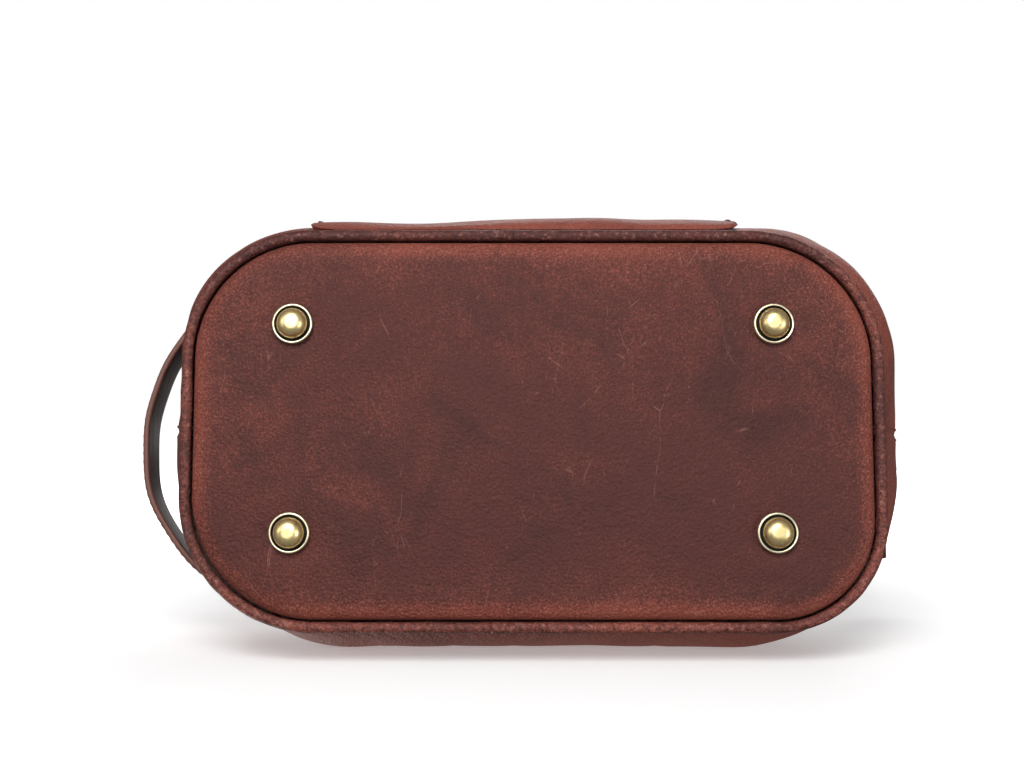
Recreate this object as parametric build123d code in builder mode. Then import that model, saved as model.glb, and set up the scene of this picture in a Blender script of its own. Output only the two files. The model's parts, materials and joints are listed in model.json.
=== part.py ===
"""Leather shaving kit bag that stands on four brass feet.

All sizes are in millimetres.  The pieces are drawn about the middle of the base, with +Z up,
the outside pocket towards -Y and the carrying handle at the -X end.  They are written moved
so that the origin is the middle of the bag's box at the plane the feet rest on.
"""
import os
from math import atan2, cos, degrees, radians, sin

from build123d import *

# --- driving sizes ------------------------------------------------------------------------
BASE_LENGTH = 253.5          # base panel, out to its seam
BASE_DEPTH = 141.5
BASE_CORNER = 44.0
FOOT_HEIGHT = 7.0            # underside of the base above the resting plane
BAG_HEIGHT = 150.0
LEATHER = 1.8
CLOTH = 0.8
GAP = 0.25                   # clearance between neighbouring layers

BODY_FLOOR = 14.3            # lower edge of the body panels
BULGE_LENGTH = 292.0         # body at its fullest
BULGE_DEPTH = 170.0
BULGE_CORNER = 50.0
MOUTH_LENGTH = 240.0         # rim of the body at the top
MOUTH_DEPTH = 28.0
MOUTH_CORNER = 13.0
TUCK_LENGTH = 17.0           # how far the body draws in again above the piping
TUCK_DEPTH = 12.0
TUCK_CORNER = 6.0
TUCK_REACH = 0.32            # share of the height over which it draws in
BODY_STATIONS = (0, 0.07, 0.15, 0.25, 0.36, 0.48, 0.6, 0.72, 0.82, 0.9, 0.96, 1)

FOAM_FLOOR = 9.1             # layers of the base, from the leather up
FOAM_THICK = 2.7
BOARD_FLOOR = 12.0
BOARD_THICK = 2.0
FLOOR_LINING = 16.5
BASE_WALL_TOP = 18.0
BASE_ROLL = 5.0

PIPING_HEIGHT = 12.1
PIPING_RADIUS = 2.1
PIPING_CORD = 1.3

FOOT_SPACING_X = 178.0
FOOT_SPACING_Y = 77.0
FOOT_RADIUS = 7.5
DOME_RADIUS = 5.4
FOOT_FLAT = 1.5
SCREW_RADIUS = 1.4

FLAP_HALF_LENGTH = 96.0      # part of the mouth that opens
FLAP_HINGE = 112.0
FLAP_GAP = 0.5

ZIP_TAPE = 0.7
ZIP_TAPE_DEPTH = 2.2         # tape's top face below the rim
ZIP_TEETH_REACH = 3.2
ZIP_TEETH_GAP = 0.6
ZIP_TEETH_HEIGHT = 2.3
ZIP_PITCH = 3.0
SLIDER_LENGTH = 14.0
SLIDER_WIDTH = 10.4
TOP_SLIDER_X = 105.0
TOP_ZIP_END = 113.5
TOP_TAPE_HALF = 16.0

PULL_AXIS = 1.7              # height of the pull's pin line above the zip's face
PULL_LINK = 11.0
PULL_TAB = 27.0
PULL_TAB_WIDTH = 9.0

TAB_WIDTH = 16.0
TAB_THICK = 2.4
TAB_NOTCH_FLOOR = 143.5

POCKET_LEFT = -86.0
POCKET_RIGHT = 80.0
POCKET_FLOOR = 19.0
POCKET_TOP = 102.0
POCKET_PROUD = 9.0
POCKET_CORNER = 10.0
WINDOW_LOW = 80.0
WINDOW_HIGH = 92.0
WINDOW_MARGIN = 5.0
POCKET_SLIDER_X = 66.0

INNER_POCKET_WIDTH = 130.0
INNER_POCKET_FLOOR = 36.0
INNER_POCKET_TOP = 76.0
INNER_POCKET_PROUD = 8.6

HANDLE_REACH = 160.6         # outermost face of the strap from the base's middle
HANDLE_RADIUS = 66.7
HANDLE_FLOOR = 56.0
HANDLE_WIDTH = 28.0
HANDLE_TILT = 8.0
HANDLE_SWEEP = 33.0          # half angle of the free loop
HANDLE_END_SWEEP = 42.0
HANDLE_END_GAP = 1.9
HANDLE_LINING = 1.4
ANCHOR_FAR = 62.0            # outer end of each sewn-down end, across the bag


# --- shared forms -------------------------------------------------------------------------
def body_section(height):
    """Half length, half depth and corner radius of the body at a height."""
    share = (height - BODY_FLOOR) / (BAG_HEIGHT - BODY_FLOOR)
    dome = (1 - share**2.4) ** 0.75
    tuck = max(0, 1 - share / TUCK_REACH) ** 2
    half_length = (MOUTH_LENGTH + (BULGE_LENGTH - MOUTH_LENGTH) * dome) / 2 - TUCK_LENGTH * tuck
    half_depth = (MOUTH_DEPTH + (BULGE_DEPTH - MOUTH_DEPTH) * dome) / 2 - TUCK_DEPTH * tuck
    corner = MOUTH_CORNER + (BULGE_CORNER - MOUTH_CORNER) * dome - TUCK_CORNER * tuck
    return half_length, half_depth, corner


def body_form(outset):
    """The body's solid form, grown outward by outset all round."""
    with BuildPart() as form:
        for share in BODY_STATIONS:
            height = BODY_FLOOR + share * (BAG_HEIGHT - BODY_FLOOR)
            half_length, half_depth, corner = body_section(height)
            with BuildSketch(Plane.XY.offset(height)):
                RectangleRounded(
                    2 * (half_length + outset), 2 * (half_depth + outset), corner + outset
                )
        loft()
    return form.part


def body_layer(outer, inner):
    """The layer of the body between two outsets."""
    with BuildPart() as layer:
        add(body_form(outer))
        add(body_form(inner), mode=Mode.SUBTRACT)
    return layer.part


def base_slab(inset, low, high):
    """Flat slab of the base's outline, drawn in by inset, between two heights."""
    with BuildPart() as slab:
        with BuildSketch(Plane.XY.offset(low)):
            RectangleRounded(BASE_LENGTH - 2 * inset, BASE_DEPTH - 2 * inset, BASE_CORNER - inset)
        extrude(amount=high - low)
    return slab.part


def upright_prism(left, right, low, high, corner):
    """Long prism across the bag with a rounded outline as seen from the front."""
    with BuildPart() as prism:
        with BuildSketch(Plane.XZ):
            with Locations(((left + right) / 2, (low + high) / 2)):
                RectangleRounded(right - left, high - low, corner)
        extrude(amount=BULGE_DEPTH, both=True)
    return prism.part


def foot_places():
    return GridLocations(FOOT_SPACING_X, FOOT_SPACING_Y, 2, 2)


def zip_tape(face, left, right, near, far):
    """Strip of zip tape below a face, from near to far across it."""
    with BuildPart() as tape:
        with BuildSketch(face.offset(-ZIP_TAPE_DEPTH - ZIP_TAPE)):
            with Locations(((left + right) / 2, (near + far) / 2)):
                Rectangle(right - left, abs(far - near))
        extrude(amount=ZIP_TAPE)
    return tape.part


def zip_teeth(face, left, right, side, shift):
    """Row of teeth on one side of a zip; shift sets the row along by a share of the pitch."""
    middle_depth = -ZIP_TAPE_DEPTH - ZIP_TAPE / 2
    count = int((right - left) / ZIP_PITCH)
    across = side * (ZIP_TEETH_REACH + ZIP_TEETH_GAP) / 2
    with BuildPart() as row:
        with BuildSketch(face.offset(middle_depth - ZIP_TEETH_HEIGHT / 2)):
            with Locations(((left + right) / 2 + shift * ZIP_PITCH, across)):
                with GridLocations(ZIP_PITCH, 0, count, 1):
                    Rectangle(ZIP_PITCH * 0.45, ZIP_TEETH_REACH - ZIP_TEETH_GAP)
        extrude(amount=ZIP_TEETH_HEIGHT)
    return row.part


def zip_stop(face, place):
    """Metal stop that closes both rows of a zip."""
    with BuildPart() as stop:
        with BuildSketch(face.offset(-ZIP_TAPE_DEPTH - ZIP_TAPE - 0.8)):
            with Locations((place, 0)):
                RectangleRounded(1.2, 2 * ZIP_TEETH_REACH, 0.4)
        extrude(amount=ZIP_TEETH_HEIGHT)
    return stop.part


def zip_slider(face, place, front):
    """Slider over a zip, with its post towards front and the arch that holds its pull."""
    with BuildPart() as slider:
        with BuildSketch(face.offset(-1.0)):
            with Locations((place, 0)):
                RectangleRounded(SLIDER_LENGTH, SLIDER_WIDTH, 2.6)
        extrude(amount=1.2)
        with BuildSketch(face.offset(-5.3)):
            with Locations((place, 0)):
                RectangleRounded(SLIDER_LENGTH, SLIDER_WIDTH, 2.6)
        extrude(amount=1.2)
        with BuildSketch(face.offset(-4.2)):
            with Locations((place + front * (SLIDER_LENGTH / 2 - 2.4), 0)):
                Rectangle(3.0, 0.7)
        extrude(amount=3.4)
        with BuildSketch(face.offset(0.1)):
            with Locations((place, 0)):
                RectangleRounded(8.0, 2.2, 0.8)
        extrude(amount=3.9)
        with BuildSketch(face.offset(0.3)):
            with Locations((place, 0)):
                Rectangle(5.4, 3.0)
        extrude(amount=2.8, mode=Mode.SUBTRACT)
    return slider.part


def pull_plane(face, place, heading):
    """Plane of a pull: origin on its pin line, x towards its tip, z away from the face."""
    origin = face.origin + face.x_dir * place + face.z_dir * PULL_AXIS
    return Plane(origin=origin, x_dir=face.x_dir * heading, z_dir=face.z_dir)


def pull_link(flat):
    """Metal loop that hangs in a slider's arch."""
    with BuildPart() as link:
        with BuildSketch(flat.offset(-0.7)):
            with Locations((PULL_LINK / 2 - 1.0, 0)):
                RectangleRounded(PULL_LINK, 7.6, 2.0)
            with Locations((4.6, 0)):
                RectangleRounded(7.4, 4.8, 1.0, mode=Mode.SUBTRACT)
        extrude(amount=1.4)
    return link.part


def pull_tab(flat):
    """Leather tab folded round the far bar of a pull's loop."""
    neck = 5.6
    with BuildPart() as tab:
        with BuildSketch(flat.offset(-TAB_THICK / 2)):
            with Locations((neck + 3, 0)):
                Rectangle(6.4, 4.2)
            with Locations((10.6 + PULL_TAB / 2, 0)):
                RectangleRounded(PULL_TAB, PULL_TAB_WIDTH, 2.4)
        extrude(amount=TAB_THICK)
        with BuildSketch(flat.offset(-0.8)):
            with Locations((9.0, 0)):
                Rectangle(3.0, PULL_TAB_WIDTH)
        extrude(amount=1.6, mode=Mode.SUBTRACT)
    return tab.part


def end_tab(route, floor):
    """Leather tab that closes one end of the top zip, flat along a route."""
    with BuildPart() as tab:
        with BuildSketch(Plane.XY.offset(floor)):
            trace(route, line_width=TAB_WIDTH)
        extrude(amount=TAB_THICK)
    return tab.part


def piping_route():
    """Middle line of the piping round the base."""
    reach = PIPING_RADIUS + 0.1
    half_length = BASE_LENGTH / 2 + reach
    half_depth = BASE_DEPTH / 2 + reach
    with BuildLine(Plane.XY.offset(PIPING_HEIGHT)) as route:
        FilletPolyline(
            (half_length, -half_depth),
            (half_length, half_depth),
            (-half_length, half_depth),
            (-half_length, -half_depth),
            radius=BASE_CORNER + reach,
            close=True,
        )
    return route.wire()


def piping_rope(radius):
    """Round rope along the piping's route."""
    route = piping_route()
    with BuildPart() as rope:
        with BuildSketch(Plane(origin=route @ 0, z_dir=route % 0)):
            Circle(radius)
        sweep(path=route)
    return rope.part


def handle_plane():
    """Plane of the strap's lower edge, tilted so that the strap leans in at the top."""
    lean = radians(HANDLE_TILT)
    return Plane(
        origin=(HANDLE_RADIUS - HANDLE_REACH, 0, HANDLE_FLOOR), x_dir=(-cos(lean), 0, sin(lean)),
        z_dir=(sin(lean), 0, cos(lean)),
    )


def handle_arc(outer, thick, start, stop):
    """Band of the strap between two angles from its middle."""
    with BuildPart() as band:
        with BuildSketch(handle_plane()):
            with BuildLine():
                inner_arc = CenterArc((0, 0), outer - thick, start, stop - start)
                outer_arc = CenterArc((0, 0), outer, start, stop - start)
                Line(inner_arc @ 0, outer_arc @ 0)
                Line(inner_arc @ 1, outer_arc @ 1)
            make_face()
        extrude(amount=HANDLE_WIDTH)
    return band.part


pieces = {}


def keep(name, piece):
    piece.part.label = name
    pieces[name] = piece.part


# --- base ---------------------------------------------------------------------------------
with BuildPart() as base_panel:
    add(base_slab(0, FOOT_HEIGHT, BASE_WALL_TOP))
    fillet(base_panel.faces().sort_by(Axis.Z)[0].edges(), radius=BASE_ROLL)
    add(base_slab(LEATHER, FOOT_HEIGHT + LEATHER, BASE_WALL_TOP + 1), mode=Mode.SUBTRACT)
    with BuildSketch(Plane.XY.offset(FOOT_HEIGHT - 1)):
        with foot_places():
            Circle(SCREW_RADIUS + 0.2)
    extrude(amount=4, mode=Mode.SUBTRACT)
keep("base_panel", base_panel)

with BuildPart() as base_foam:
    add(base_slab(LEATHER + 2.5, FOAM_FLOOR, FOAM_FLOOR + FOAM_THICK))
    with BuildSketch(Plane.XY.offset(FOAM_FLOOR)):
        with foot_places():
            Circle(SCREW_RADIUS + 0.2)
    extrude(amount=3, mode=Mode.SUBTRACT)
keep("base_foam", base_foam)

with BuildPart() as base_board:
    add(base_slab(LEATHER + GAP, BOARD_FLOOR, BOARD_FLOOR + BOARD_THICK))
    with BuildSketch(Plane.XY.offset(BOARD_FLOOR)):
        with foot_places():
            Circle(SCREW_RADIUS + 0.2)
    extrude(amount=3, mode=Mode.SUBTRACT)
keep("base_board", base_board)

with BuildPart() as base_lining:
    add(base_slab(LEATHER + GAP, FLOOR_LINING, FLOOR_LINING + CLOTH))
keep("base_lining", base_lining)

rope = piping_rope(PIPING_RADIUS)
core = piping_rope(PIPING_CORD + 0.05)
for side, name in ((-1, "piping_left"), (1, "piping_right")):
    with BuildPart() as piping_cover:
        add(rope)
        add(core, mode=Mode.SUBTRACT)
        split(bisect_by=Plane(origin=(side * 0.05, 0, 0), z_dir=(side, 0, 0)), keep=Keep.TOP)
    keep(name, piping_cover)

with BuildPart() as piping_cord:
    add(piping_rope(PIPING_CORD))
keep("piping_cord", piping_cord)

# --- feet ---------------------------------------------------------------------------------
with BuildPart() as foot_cups:
    with BuildSketch(Plane.XY.offset(4.4)):
        with foot_places():
            Circle(FOOT_RADIUS)
            Circle(FOOT_RADIUS - 1.0, mode=Mode.SUBTRACT)
    extrude(amount=1.7)
    with BuildSketch(Plane.XY.offset(6.0)):
        with foot_places():
            Circle(FOOT_RADIUS)
            Circle(SCREW_RADIUS + 0.1, mode=Mode.SUBTRACT)
    extrude(amount=FOOT_HEIGHT - 6.0 - 0.02)
keep("foot_cups", foot_cups)

with BuildPart() as dome:
    with BuildSketch(Plane.XZ):
        with BuildLine():
            Polyline((FOOT_FLAT, 0), (0, 0), (0, 5.9), (DOME_RADIUS, 5.9), (DOME_RADIUS, 4.6))
            RadiusArc((DOME_RADIUS, 4.6), (FOOT_FLAT, 0), DOME_RADIUS)
        make_face()
    revolve(axis=Axis.Z)

with BuildPart() as foot_domes:
    with foot_places():
        add(dome.part)
keep("foot_domes", foot_domes)

with BuildPart() as foot_screws:
    with BuildSketch(Plane.XY.offset(5.95)):
        with foot_places():
            Circle(SCREW_RADIUS)
    extrude(amount=9.4)
    with BuildSketch(Plane.XY.offset(15.3)):
        with foot_places():
            Circle(3.0)
    extrude(amount=0.9)
keep("foot_screws", foot_screws)

with BuildPart() as foot_washers:
    with BuildSketch(Plane.XY.offset(14.1)):
        with foot_places():
            Circle(6.0)
            Circle(SCREW_RADIUS + 0.1, mode=Mode.SUBTRACT)
    extrude(amount=1.0)
keep("foot_washers", foot_washers)

# --- body, lining and the two halves of the mouth -------------------------------------------
leather_layer = body_layer(0, -LEATHER)
lining_layer = body_layer(-LEATHER - GAP, -LEATHER - GAP - CLOTH)
flap_height = BAG_HEIGHT - FLAP_HINGE
halves = (("front", Plane.XZ.offset(0.12)), ("back", -Plane.XZ.offset(-0.12)))

for half, seam in halves:
    with BuildPart() as body_panel:
        add(leather_layer)
        split(bisect_by=seam, keep=Keep.TOP)
        with Locations((0, 0, FLAP_HINGE)):
            Box(
                2 * FLAP_HALF_LENGTH + 2 * FLAP_GAP, BULGE_DEPTH, 2 * flap_height,
                align=(Align.CENTER, Align.CENTER, Align.MIN), mode=Mode.SUBTRACT,
            )
        with Locations((0, 0, TAB_NOTCH_FLOOR)):
            Box(
                BULGE_LENGTH, TAB_WIDTH + 2, 10,
                align=(Align.CENTER, Align.CENTER, Align.MIN), mode=Mode.SUBTRACT,
            )
    keep(half + "_body_panel", body_panel)

    with BuildPart() as lining:
        add(lining_layer)
        split(bisect_by=seam, keep=Keep.TOP)
        split(bisect_by=Plane.XY.offset(BASE_WALL_TOP + 0.4), keep=Keep.TOP)
        split(bisect_by=Plane.XY.offset(FLAP_HINGE - FLAP_GAP), keep=Keep.BOTTOM)
    keep(half + "_lining", lining)

    with BuildPart() as top_panel:
        add(leather_layer)
        split(bisect_by=seam, keep=Keep.TOP)
        with Locations((0, 0, FLAP_HINGE + FLAP_GAP)):
            Box(
                2 * FLAP_HALF_LENGTH, BULGE_DEPTH, 2 * flap_height,
                align=(Align.CENTER, Align.CENTER, Align.MIN), mode=Mode.INTERSECT,
            )
    keep(half + "_top_panel", top_panel)

    with BuildPart() as top_lining:
        add(lining_layer)
        split(bisect_by=seam, keep=Keep.TOP)
        with Locations((0, 0, FLAP_HINGE + FLAP_GAP)):
            Box(
                2 * FLAP_HALF_LENGTH, BULGE_DEPTH, flap_height - 8,
                align=(Align.CENTER, Align.CENTER, Align.MIN), mode=Mode.INTERSECT,
            )
    keep(half + "_top_lining", top_lining)

with BuildPart() as inner_pocket_room:
    add(body_layer(-1, -LEATHER - GAP - INNER_POCKET_PROUD))
    add(
        upright_prism(
            1 - INNER_POCKET_WIDTH / 2, INNER_POCKET_WIDTH / 2 - 1,
            INNER_POCKET_FLOOR + 1, INNER_POCKET_TOP + 30, 5,
        ),
        mode=Mode.INTERSECT,
    )

with BuildPart() as inner_pocket:
    add(body_layer(-LEATHER - GAP - CLOTH - 0.3, -LEATHER - GAP - CLOTH - INNER_POCKET_PROUD))
    add(
        upright_prism(
            -INNER_POCKET_WIDTH / 2, INNER_POCKET_WIDTH / 2, INNER_POCKET_FLOOR, INNER_POCKET_TOP, 6
        ),
        mode=Mode.INTERSECT,
    )
    split(bisect_by=Plane.XZ, keep=Keep.BOTTOM)
    add(inner_pocket_room.part, mode=Mode.SUBTRACT)
keep("inner_pocket", inner_pocket)

# --- top zip --------------------------------------------------------------------------------
rim = Plane.XY.offset(BAG_HEIGHT)
tape_edge = ZIP_TEETH_REACH + 0.1
for half, side in (("front", -1), ("back", 1)):
    with BuildPart() as tape:
        add(zip_tape(rim, -FLAP_HALF_LENGTH, FLAP_HALF_LENGTH, side * tape_edge, side * TOP_TAPE_HALF))
    keep("zip_tape_" + half, tape)
    with BuildPart() as teeth:
        add(zip_teeth(rim, 1 - FLAP_HALF_LENGTH, FLAP_HALF_LENGTH - 1, side, side * 0.25))
    keep("zip_teeth_" + half, teeth)

tape_start = FLAP_HALF_LENGTH + FLAP_GAP
for end, name in ((-1, "left"), (1, "right")):
    low, high = sorted((end * tape_start, end * TOP_ZIP_END))
    with BuildPart() as end_tape:
        for side in (-1, 1):
            add(zip_tape(rim, low, high, side * tape_edge, side * TOP_TAPE_HALF))
    keep("zip_end_tape_" + name, end_tape)

with BuildPart() as zip_end_teeth:
    for end in (-1, 1):
        low, high = sorted((end * (tape_start + 0.3), end * (TOP_ZIP_END - 1.6)))
        for side in (-1, 1):
            add(zip_teeth(rim, low, high, side, side * 0.12))
keep("zip_end_teeth", zip_end_teeth)

with BuildPart() as zip_stops:
    for end in (-1, 1):
        add(zip_stop(rim, end * (TOP_ZIP_END - 0.7)))
keep("zip_stops", zip_stops)

tab_floor = BAG_HEIGHT - ZIP_TAPE_DEPTH - ZIP_TAPE / 2 - TAB_THICK / 2
with BuildLine(Plane.XY.offset(tab_floor)) as right_route:
    right_start = Line((TOP_ZIP_END + 0.4, 0), (126, 0))
    right_bend = JernArc(right_start @ 1, right_start % 1, 25, 50)
    Line(right_bend @ 1, right_bend @ 1 + 30 * (right_bend % 1))
with BuildPart() as zip_tab_right:
    add(end_tab(right_route.line, tab_floor))
keep("zip_tab_right", zip_tab_right)

with BuildLine(Plane.XY.offset(tab_floor)) as left_route:
    left_start = Line((-TOP_ZIP_END - 0.4, 0), (-124, 0))
    JernArc(left_start @ 1, left_start % 1, 90, -18)
with BuildPart() as zip_tab_left:
    add(end_tab(left_route.line, tab_floor))
keep("zip_tab_left", zip_tab_left)

with BuildPart() as top_slider:
    add(zip_slider(rim, TOP_SLIDER_X, 1))
keep("top_slider", top_slider)
top_pull = pull_plane(rim, TOP_SLIDER_X, 1)
with BuildPart() as top_pull_link:
    add(pull_link(top_pull))
keep("top_pull_link", top_pull_link)
with BuildPart() as top_pull_tab:
    add(pull_tab(top_pull))
keep("top_pull_tab", top_pull_tab)

# --- outside pocket ---------------------------------------------------------------------------
low_depth = body_section(WINDOW_LOW)[1]
high_depth = body_section(WINDOW_HIGH)[1]
window_rise = WINDOW_HIGH - WINDOW_LOW
window_lean = atan2(low_depth - high_depth, window_rise)
window_face = Plane(
    origin=(0, -(low_depth + high_depth) / 2 - POCKET_PROUD, (WINDOW_LOW + WINDOW_HIGH) / 2),
    x_dir=(1, 0, 0),
    z_dir=(0, -cos(window_lean), sin(window_lean)),
)
window_left = POCKET_LEFT + WINDOW_MARGIN
window_right = POCKET_RIGHT - WINDOW_MARGIN

with BuildPart() as pocket_room:
    add(body_layer(POCKET_PROUD - LEATHER, -1))
    add(
        upright_prism(
            POCKET_LEFT + LEATHER, POCKET_RIGHT - LEATHER, POCKET_FLOOR + LEATHER,
            POCKET_TOP - LEATHER, POCKET_CORNER - LEATHER,
        ),
        mode=Mode.INTERSECT,
    )

with BuildPart() as pocket_window:
    with BuildSketch(window_face.offset(-4)):
        with Locations(((window_left + window_right) / 2, 0)):
            RectangleRounded(window_right - window_left, window_rise, 2)
    extrude(amount=8)

with BuildPart() as pocket_panel:
    add(body_layer(POCKET_PROUD, 0.3))
    add(
        upright_prism(POCKET_LEFT, POCKET_RIGHT, POCKET_FLOOR, POCKET_TOP, POCKET_CORNER),
        mode=Mode.INTERSECT,
    )
    split(bisect_by=Plane.XZ, keep=Keep.TOP)
    add(pocket_room.part, mode=Mode.SUBTRACT)
    add(pocket_window.part, mode=Mode.SUBTRACT)
keep("pocket_panel", pocket_panel)

with BuildPart() as pocket_lining:
    add(body_layer(0.3 + CLOTH, 0.3))
    add(
        upright_prism(
            POCKET_LEFT + 3, POCKET_RIGHT - 3, POCKET_FLOOR + 3, POCKET_TOP - 3, POCKET_CORNER - 3
        ),
        mode=Mode.INTERSECT,
    )
    split(bisect_by=Plane.XZ, keep=Keep.TOP)
keep("pocket_lining", pocket_lining)

pocket_tape_half = 8.0
tape_left = POCKET_LEFT + LEATHER + 0.6
tape_right = POCKET_RIGHT - LEATHER - 0.6
for name, side in (("lower", -1), ("upper", 1)):
    with BuildPart() as pocket_tape:
        add(zip_tape(window_face, tape_left, tape_right, side * tape_edge, side * pocket_tape_half))
    keep("pocket_zip_tape_" + name, pocket_tape)
    with BuildPart() as pocket_teeth:
        add(zip_teeth(window_face, window_left + 2, window_right - 2, side, side * 0.25))
    keep("pocket_zip_teeth_" + name, pocket_teeth)

with BuildPart() as pocket_zip_stops:
    add(zip_stop(window_face, window_left + 0.9))
    add(zip_stop(window_face, window_right - 0.9))
keep("pocket_zip_stops", pocket_zip_stops)

with BuildPart() as pocket_slider:
    add(zip_slider(window_face, POCKET_SLIDER_X, 1))
keep("pocket_slider", pocket_slider)
pocket_pull = pull_plane(window_face, POCKET_SLIDER_X, 1)
with BuildPart() as pocket_pull_link:
    add(pull_link(pocket_pull))
keep("pocket_pull_link", pocket_pull_link)
with BuildPart() as pocket_pull_tab:
    add(pull_tab(pocket_pull))
keep("pocket_pull_tab", pocket_pull_tab)

# --- handle -------------------------------------------------------------------------------------
lining_outer = HANDLE_RADIUS - LEATHER - 0.1
with BuildPart() as handle_strap:
    add(handle_arc(HANDLE_RADIUS, LEATHER, -HANDLE_SWEEP, HANDLE_SWEEP))
keep("handle_strap", handle_strap)
with BuildPart() as handle_lining:
    add(handle_arc(lining_outer, HANDLE_LINING, -HANDLE_SWEEP, HANDLE_SWEEP))
keep("handle_lining", handle_lining)

end_start = HANDLE_SWEEP + degrees(HANDLE_END_GAP / HANDLE_RADIUS)
strap_thick = LEATHER + HANDLE_LINING
anchor_patch = body_layer(0.3 + LEATHER, 0.3)
body_clearance = body_form(0.3)
for name, side in (("handle_end_front", 1), ("handle_end_back", -1)):
    near, far = sorted((side * end_start, side * HANDLE_END_SWEEP))
    stub = handle_arc(HANDLE_RADIUS, strap_thick, near, far)
    across = -side * (ANCHOR_FAR + 43) / 2
    with BuildPart() as handle_end:
        add(anchor_patch)
        with Locations((-BULGE_LENGTH / 2, across, HANDLE_FLOOR + HANDLE_WIDTH / 2)):
            Box(80, ANCHOR_FAR - 43, HANDLE_WIDTH - 0.6, mode=Mode.INTERSECT)
        add(stub)
        add(body_clearance, mode=Mode.SUBTRACT)
    keep(name, handle_end)

# --- write the pieces about the middle of the bag's box -----------------------------------------
box = Compound(children=[piece.moved(Location()) for piece in pieces.values()]).bounding_box()
shift = Location((-box.center().X, -box.center().Y, -box.min.Z))
print("shift", [round(value, 4) for value in shift.position])
os.makedirs("parts", exist_ok=True)
for name, piece in pieces.items():
    placed = piece.moved(shift)
    placed.label = name
    export_step(placed, "parts/" + name + ".step")
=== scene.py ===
"""Looks of a leather shaving kit bag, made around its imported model.

The bag stands on four brass feet with its outside pocket towards -Y and its handle at -X.
Shapes are worked out in millimetres about the middle of the base, then placed in the frame.
"""

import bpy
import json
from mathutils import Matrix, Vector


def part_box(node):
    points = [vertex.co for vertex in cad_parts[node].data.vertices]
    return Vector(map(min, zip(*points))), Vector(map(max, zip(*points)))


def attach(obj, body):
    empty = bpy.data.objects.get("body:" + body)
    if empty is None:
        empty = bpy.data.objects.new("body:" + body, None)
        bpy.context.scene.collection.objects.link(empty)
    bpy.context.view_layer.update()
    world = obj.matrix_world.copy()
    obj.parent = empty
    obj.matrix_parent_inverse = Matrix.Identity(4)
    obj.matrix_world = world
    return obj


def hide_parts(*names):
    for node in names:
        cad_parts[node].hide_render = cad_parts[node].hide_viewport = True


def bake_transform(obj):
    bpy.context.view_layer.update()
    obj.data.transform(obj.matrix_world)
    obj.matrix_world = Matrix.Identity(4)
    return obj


bl_info = {
    "name": "Leather Shaving Kit Bag",
    "version": (1, 0, 0),
    "blender": (4, 5, 0),
    "location": "View3D > Sidebar > Kit Bag",
    "description": "Builds the leather, brass and cloth of a shaving kit bag",
    "category": "Object",
}

import json
from math import atan2, cos, pi, radians, sin

import bmesh
import bpy
import numpy as np
from bpy.props import FloatProperty, FloatVectorProperty, PointerProperty
from mathutils import Matrix, Vector

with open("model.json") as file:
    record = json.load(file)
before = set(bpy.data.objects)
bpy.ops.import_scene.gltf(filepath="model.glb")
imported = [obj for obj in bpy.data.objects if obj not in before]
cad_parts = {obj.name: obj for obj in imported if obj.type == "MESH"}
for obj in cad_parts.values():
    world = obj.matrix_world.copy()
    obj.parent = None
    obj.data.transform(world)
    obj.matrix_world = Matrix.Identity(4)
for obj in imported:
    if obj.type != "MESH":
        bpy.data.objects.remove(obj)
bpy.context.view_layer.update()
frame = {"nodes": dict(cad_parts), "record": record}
MM = 0.001
BASE_LOW, BASE_HIGH = (np.array(corner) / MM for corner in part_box("base_panel"))
BASE_MIDDLE = np.array([*(BASE_LOW + BASE_HIGH)[:2] / 2, 0.0])
BASE_HALF_LENGTH, BASE_HALF_DEPTH = (BASE_HIGH - BASE_LOW)[:2] / 2
BASE_FLOOR = BASE_LOW[2]
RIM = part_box("front_body_panel")[1].z / MM
BODY_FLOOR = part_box("front_body_panel")[0].z / MM
HINGE_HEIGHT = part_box("front_top_panel")[0].z / MM
GIRTH = 800.0           # rough length of the base's outline
TURNED_POINTS = 64      # points round a part turned on a lathe
CORD_POINTS = 24        # points round the piping


# --- properties ---------------------------------------------------------------------------
def tint(name, description, colour):
    """A colour that the panel shows."""
    return FloatVectorProperty(
        name=name, description=description, default=colour, subtype="COLOR", min=0, max=1
    )


def length(name, description, millimetres):
    """A length that the panel shows."""
    return FloatProperty(
        name=name, description=description, default=millimetres * MM, unit="LENGTH", min=0
    )


class KitBagColours(bpy.types.PropertyGroup):
    """Colours of the leathers, the metal and the cloth."""

    deep: tint("Deep leather", "Leather where the wax is undisturbed", (0.071, 0.0215, 0.0185))
    # Warm and deep are also the two ends of the painted light and painted shade on the base, the
    # piping and the lower body walls
    warm: tint("Warm leather", "Leather where it is rubbed or stretched", (0.24, 0.062, 0.042))
    shade: tint("Shaded leather", "Darkest clouds in the leather", (0.04, 0.016, 0.015))
    scuff: tint("Scuffs", "Pale hairline scratches", (0.42, 0.19, 0.15))
    dark: tint("Dark leather", "Lining of the handle and the zip tabs", (0.043, 0.021, 0.0175))
    edge: tint("Edge dressing", "Burnished cut edges of the strap", (0.13, 0.05, 0.034))
    thread: tint("Thread", "Waxed thread of the seams", (0.085, 0.03, 0.024))
    gold: tint("Dome brass", "Bright brass of the feet", (0.92, 0.74, 0.36))
    patina: tint("Patina", "Darkened brass in the recesses", (0.022, 0.017, 0.012))
    metal: tint("Zip brass", "Antique brass of the zips", (0.56, 0.42, 0.21))
    tape: tint("Zip tape", "Woven tape of the zips", (0.03, 0.018, 0.014))
    lining: tint("Lining", "Cotton lining inside the bag", (0.2, 0.14, 0.09))


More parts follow.
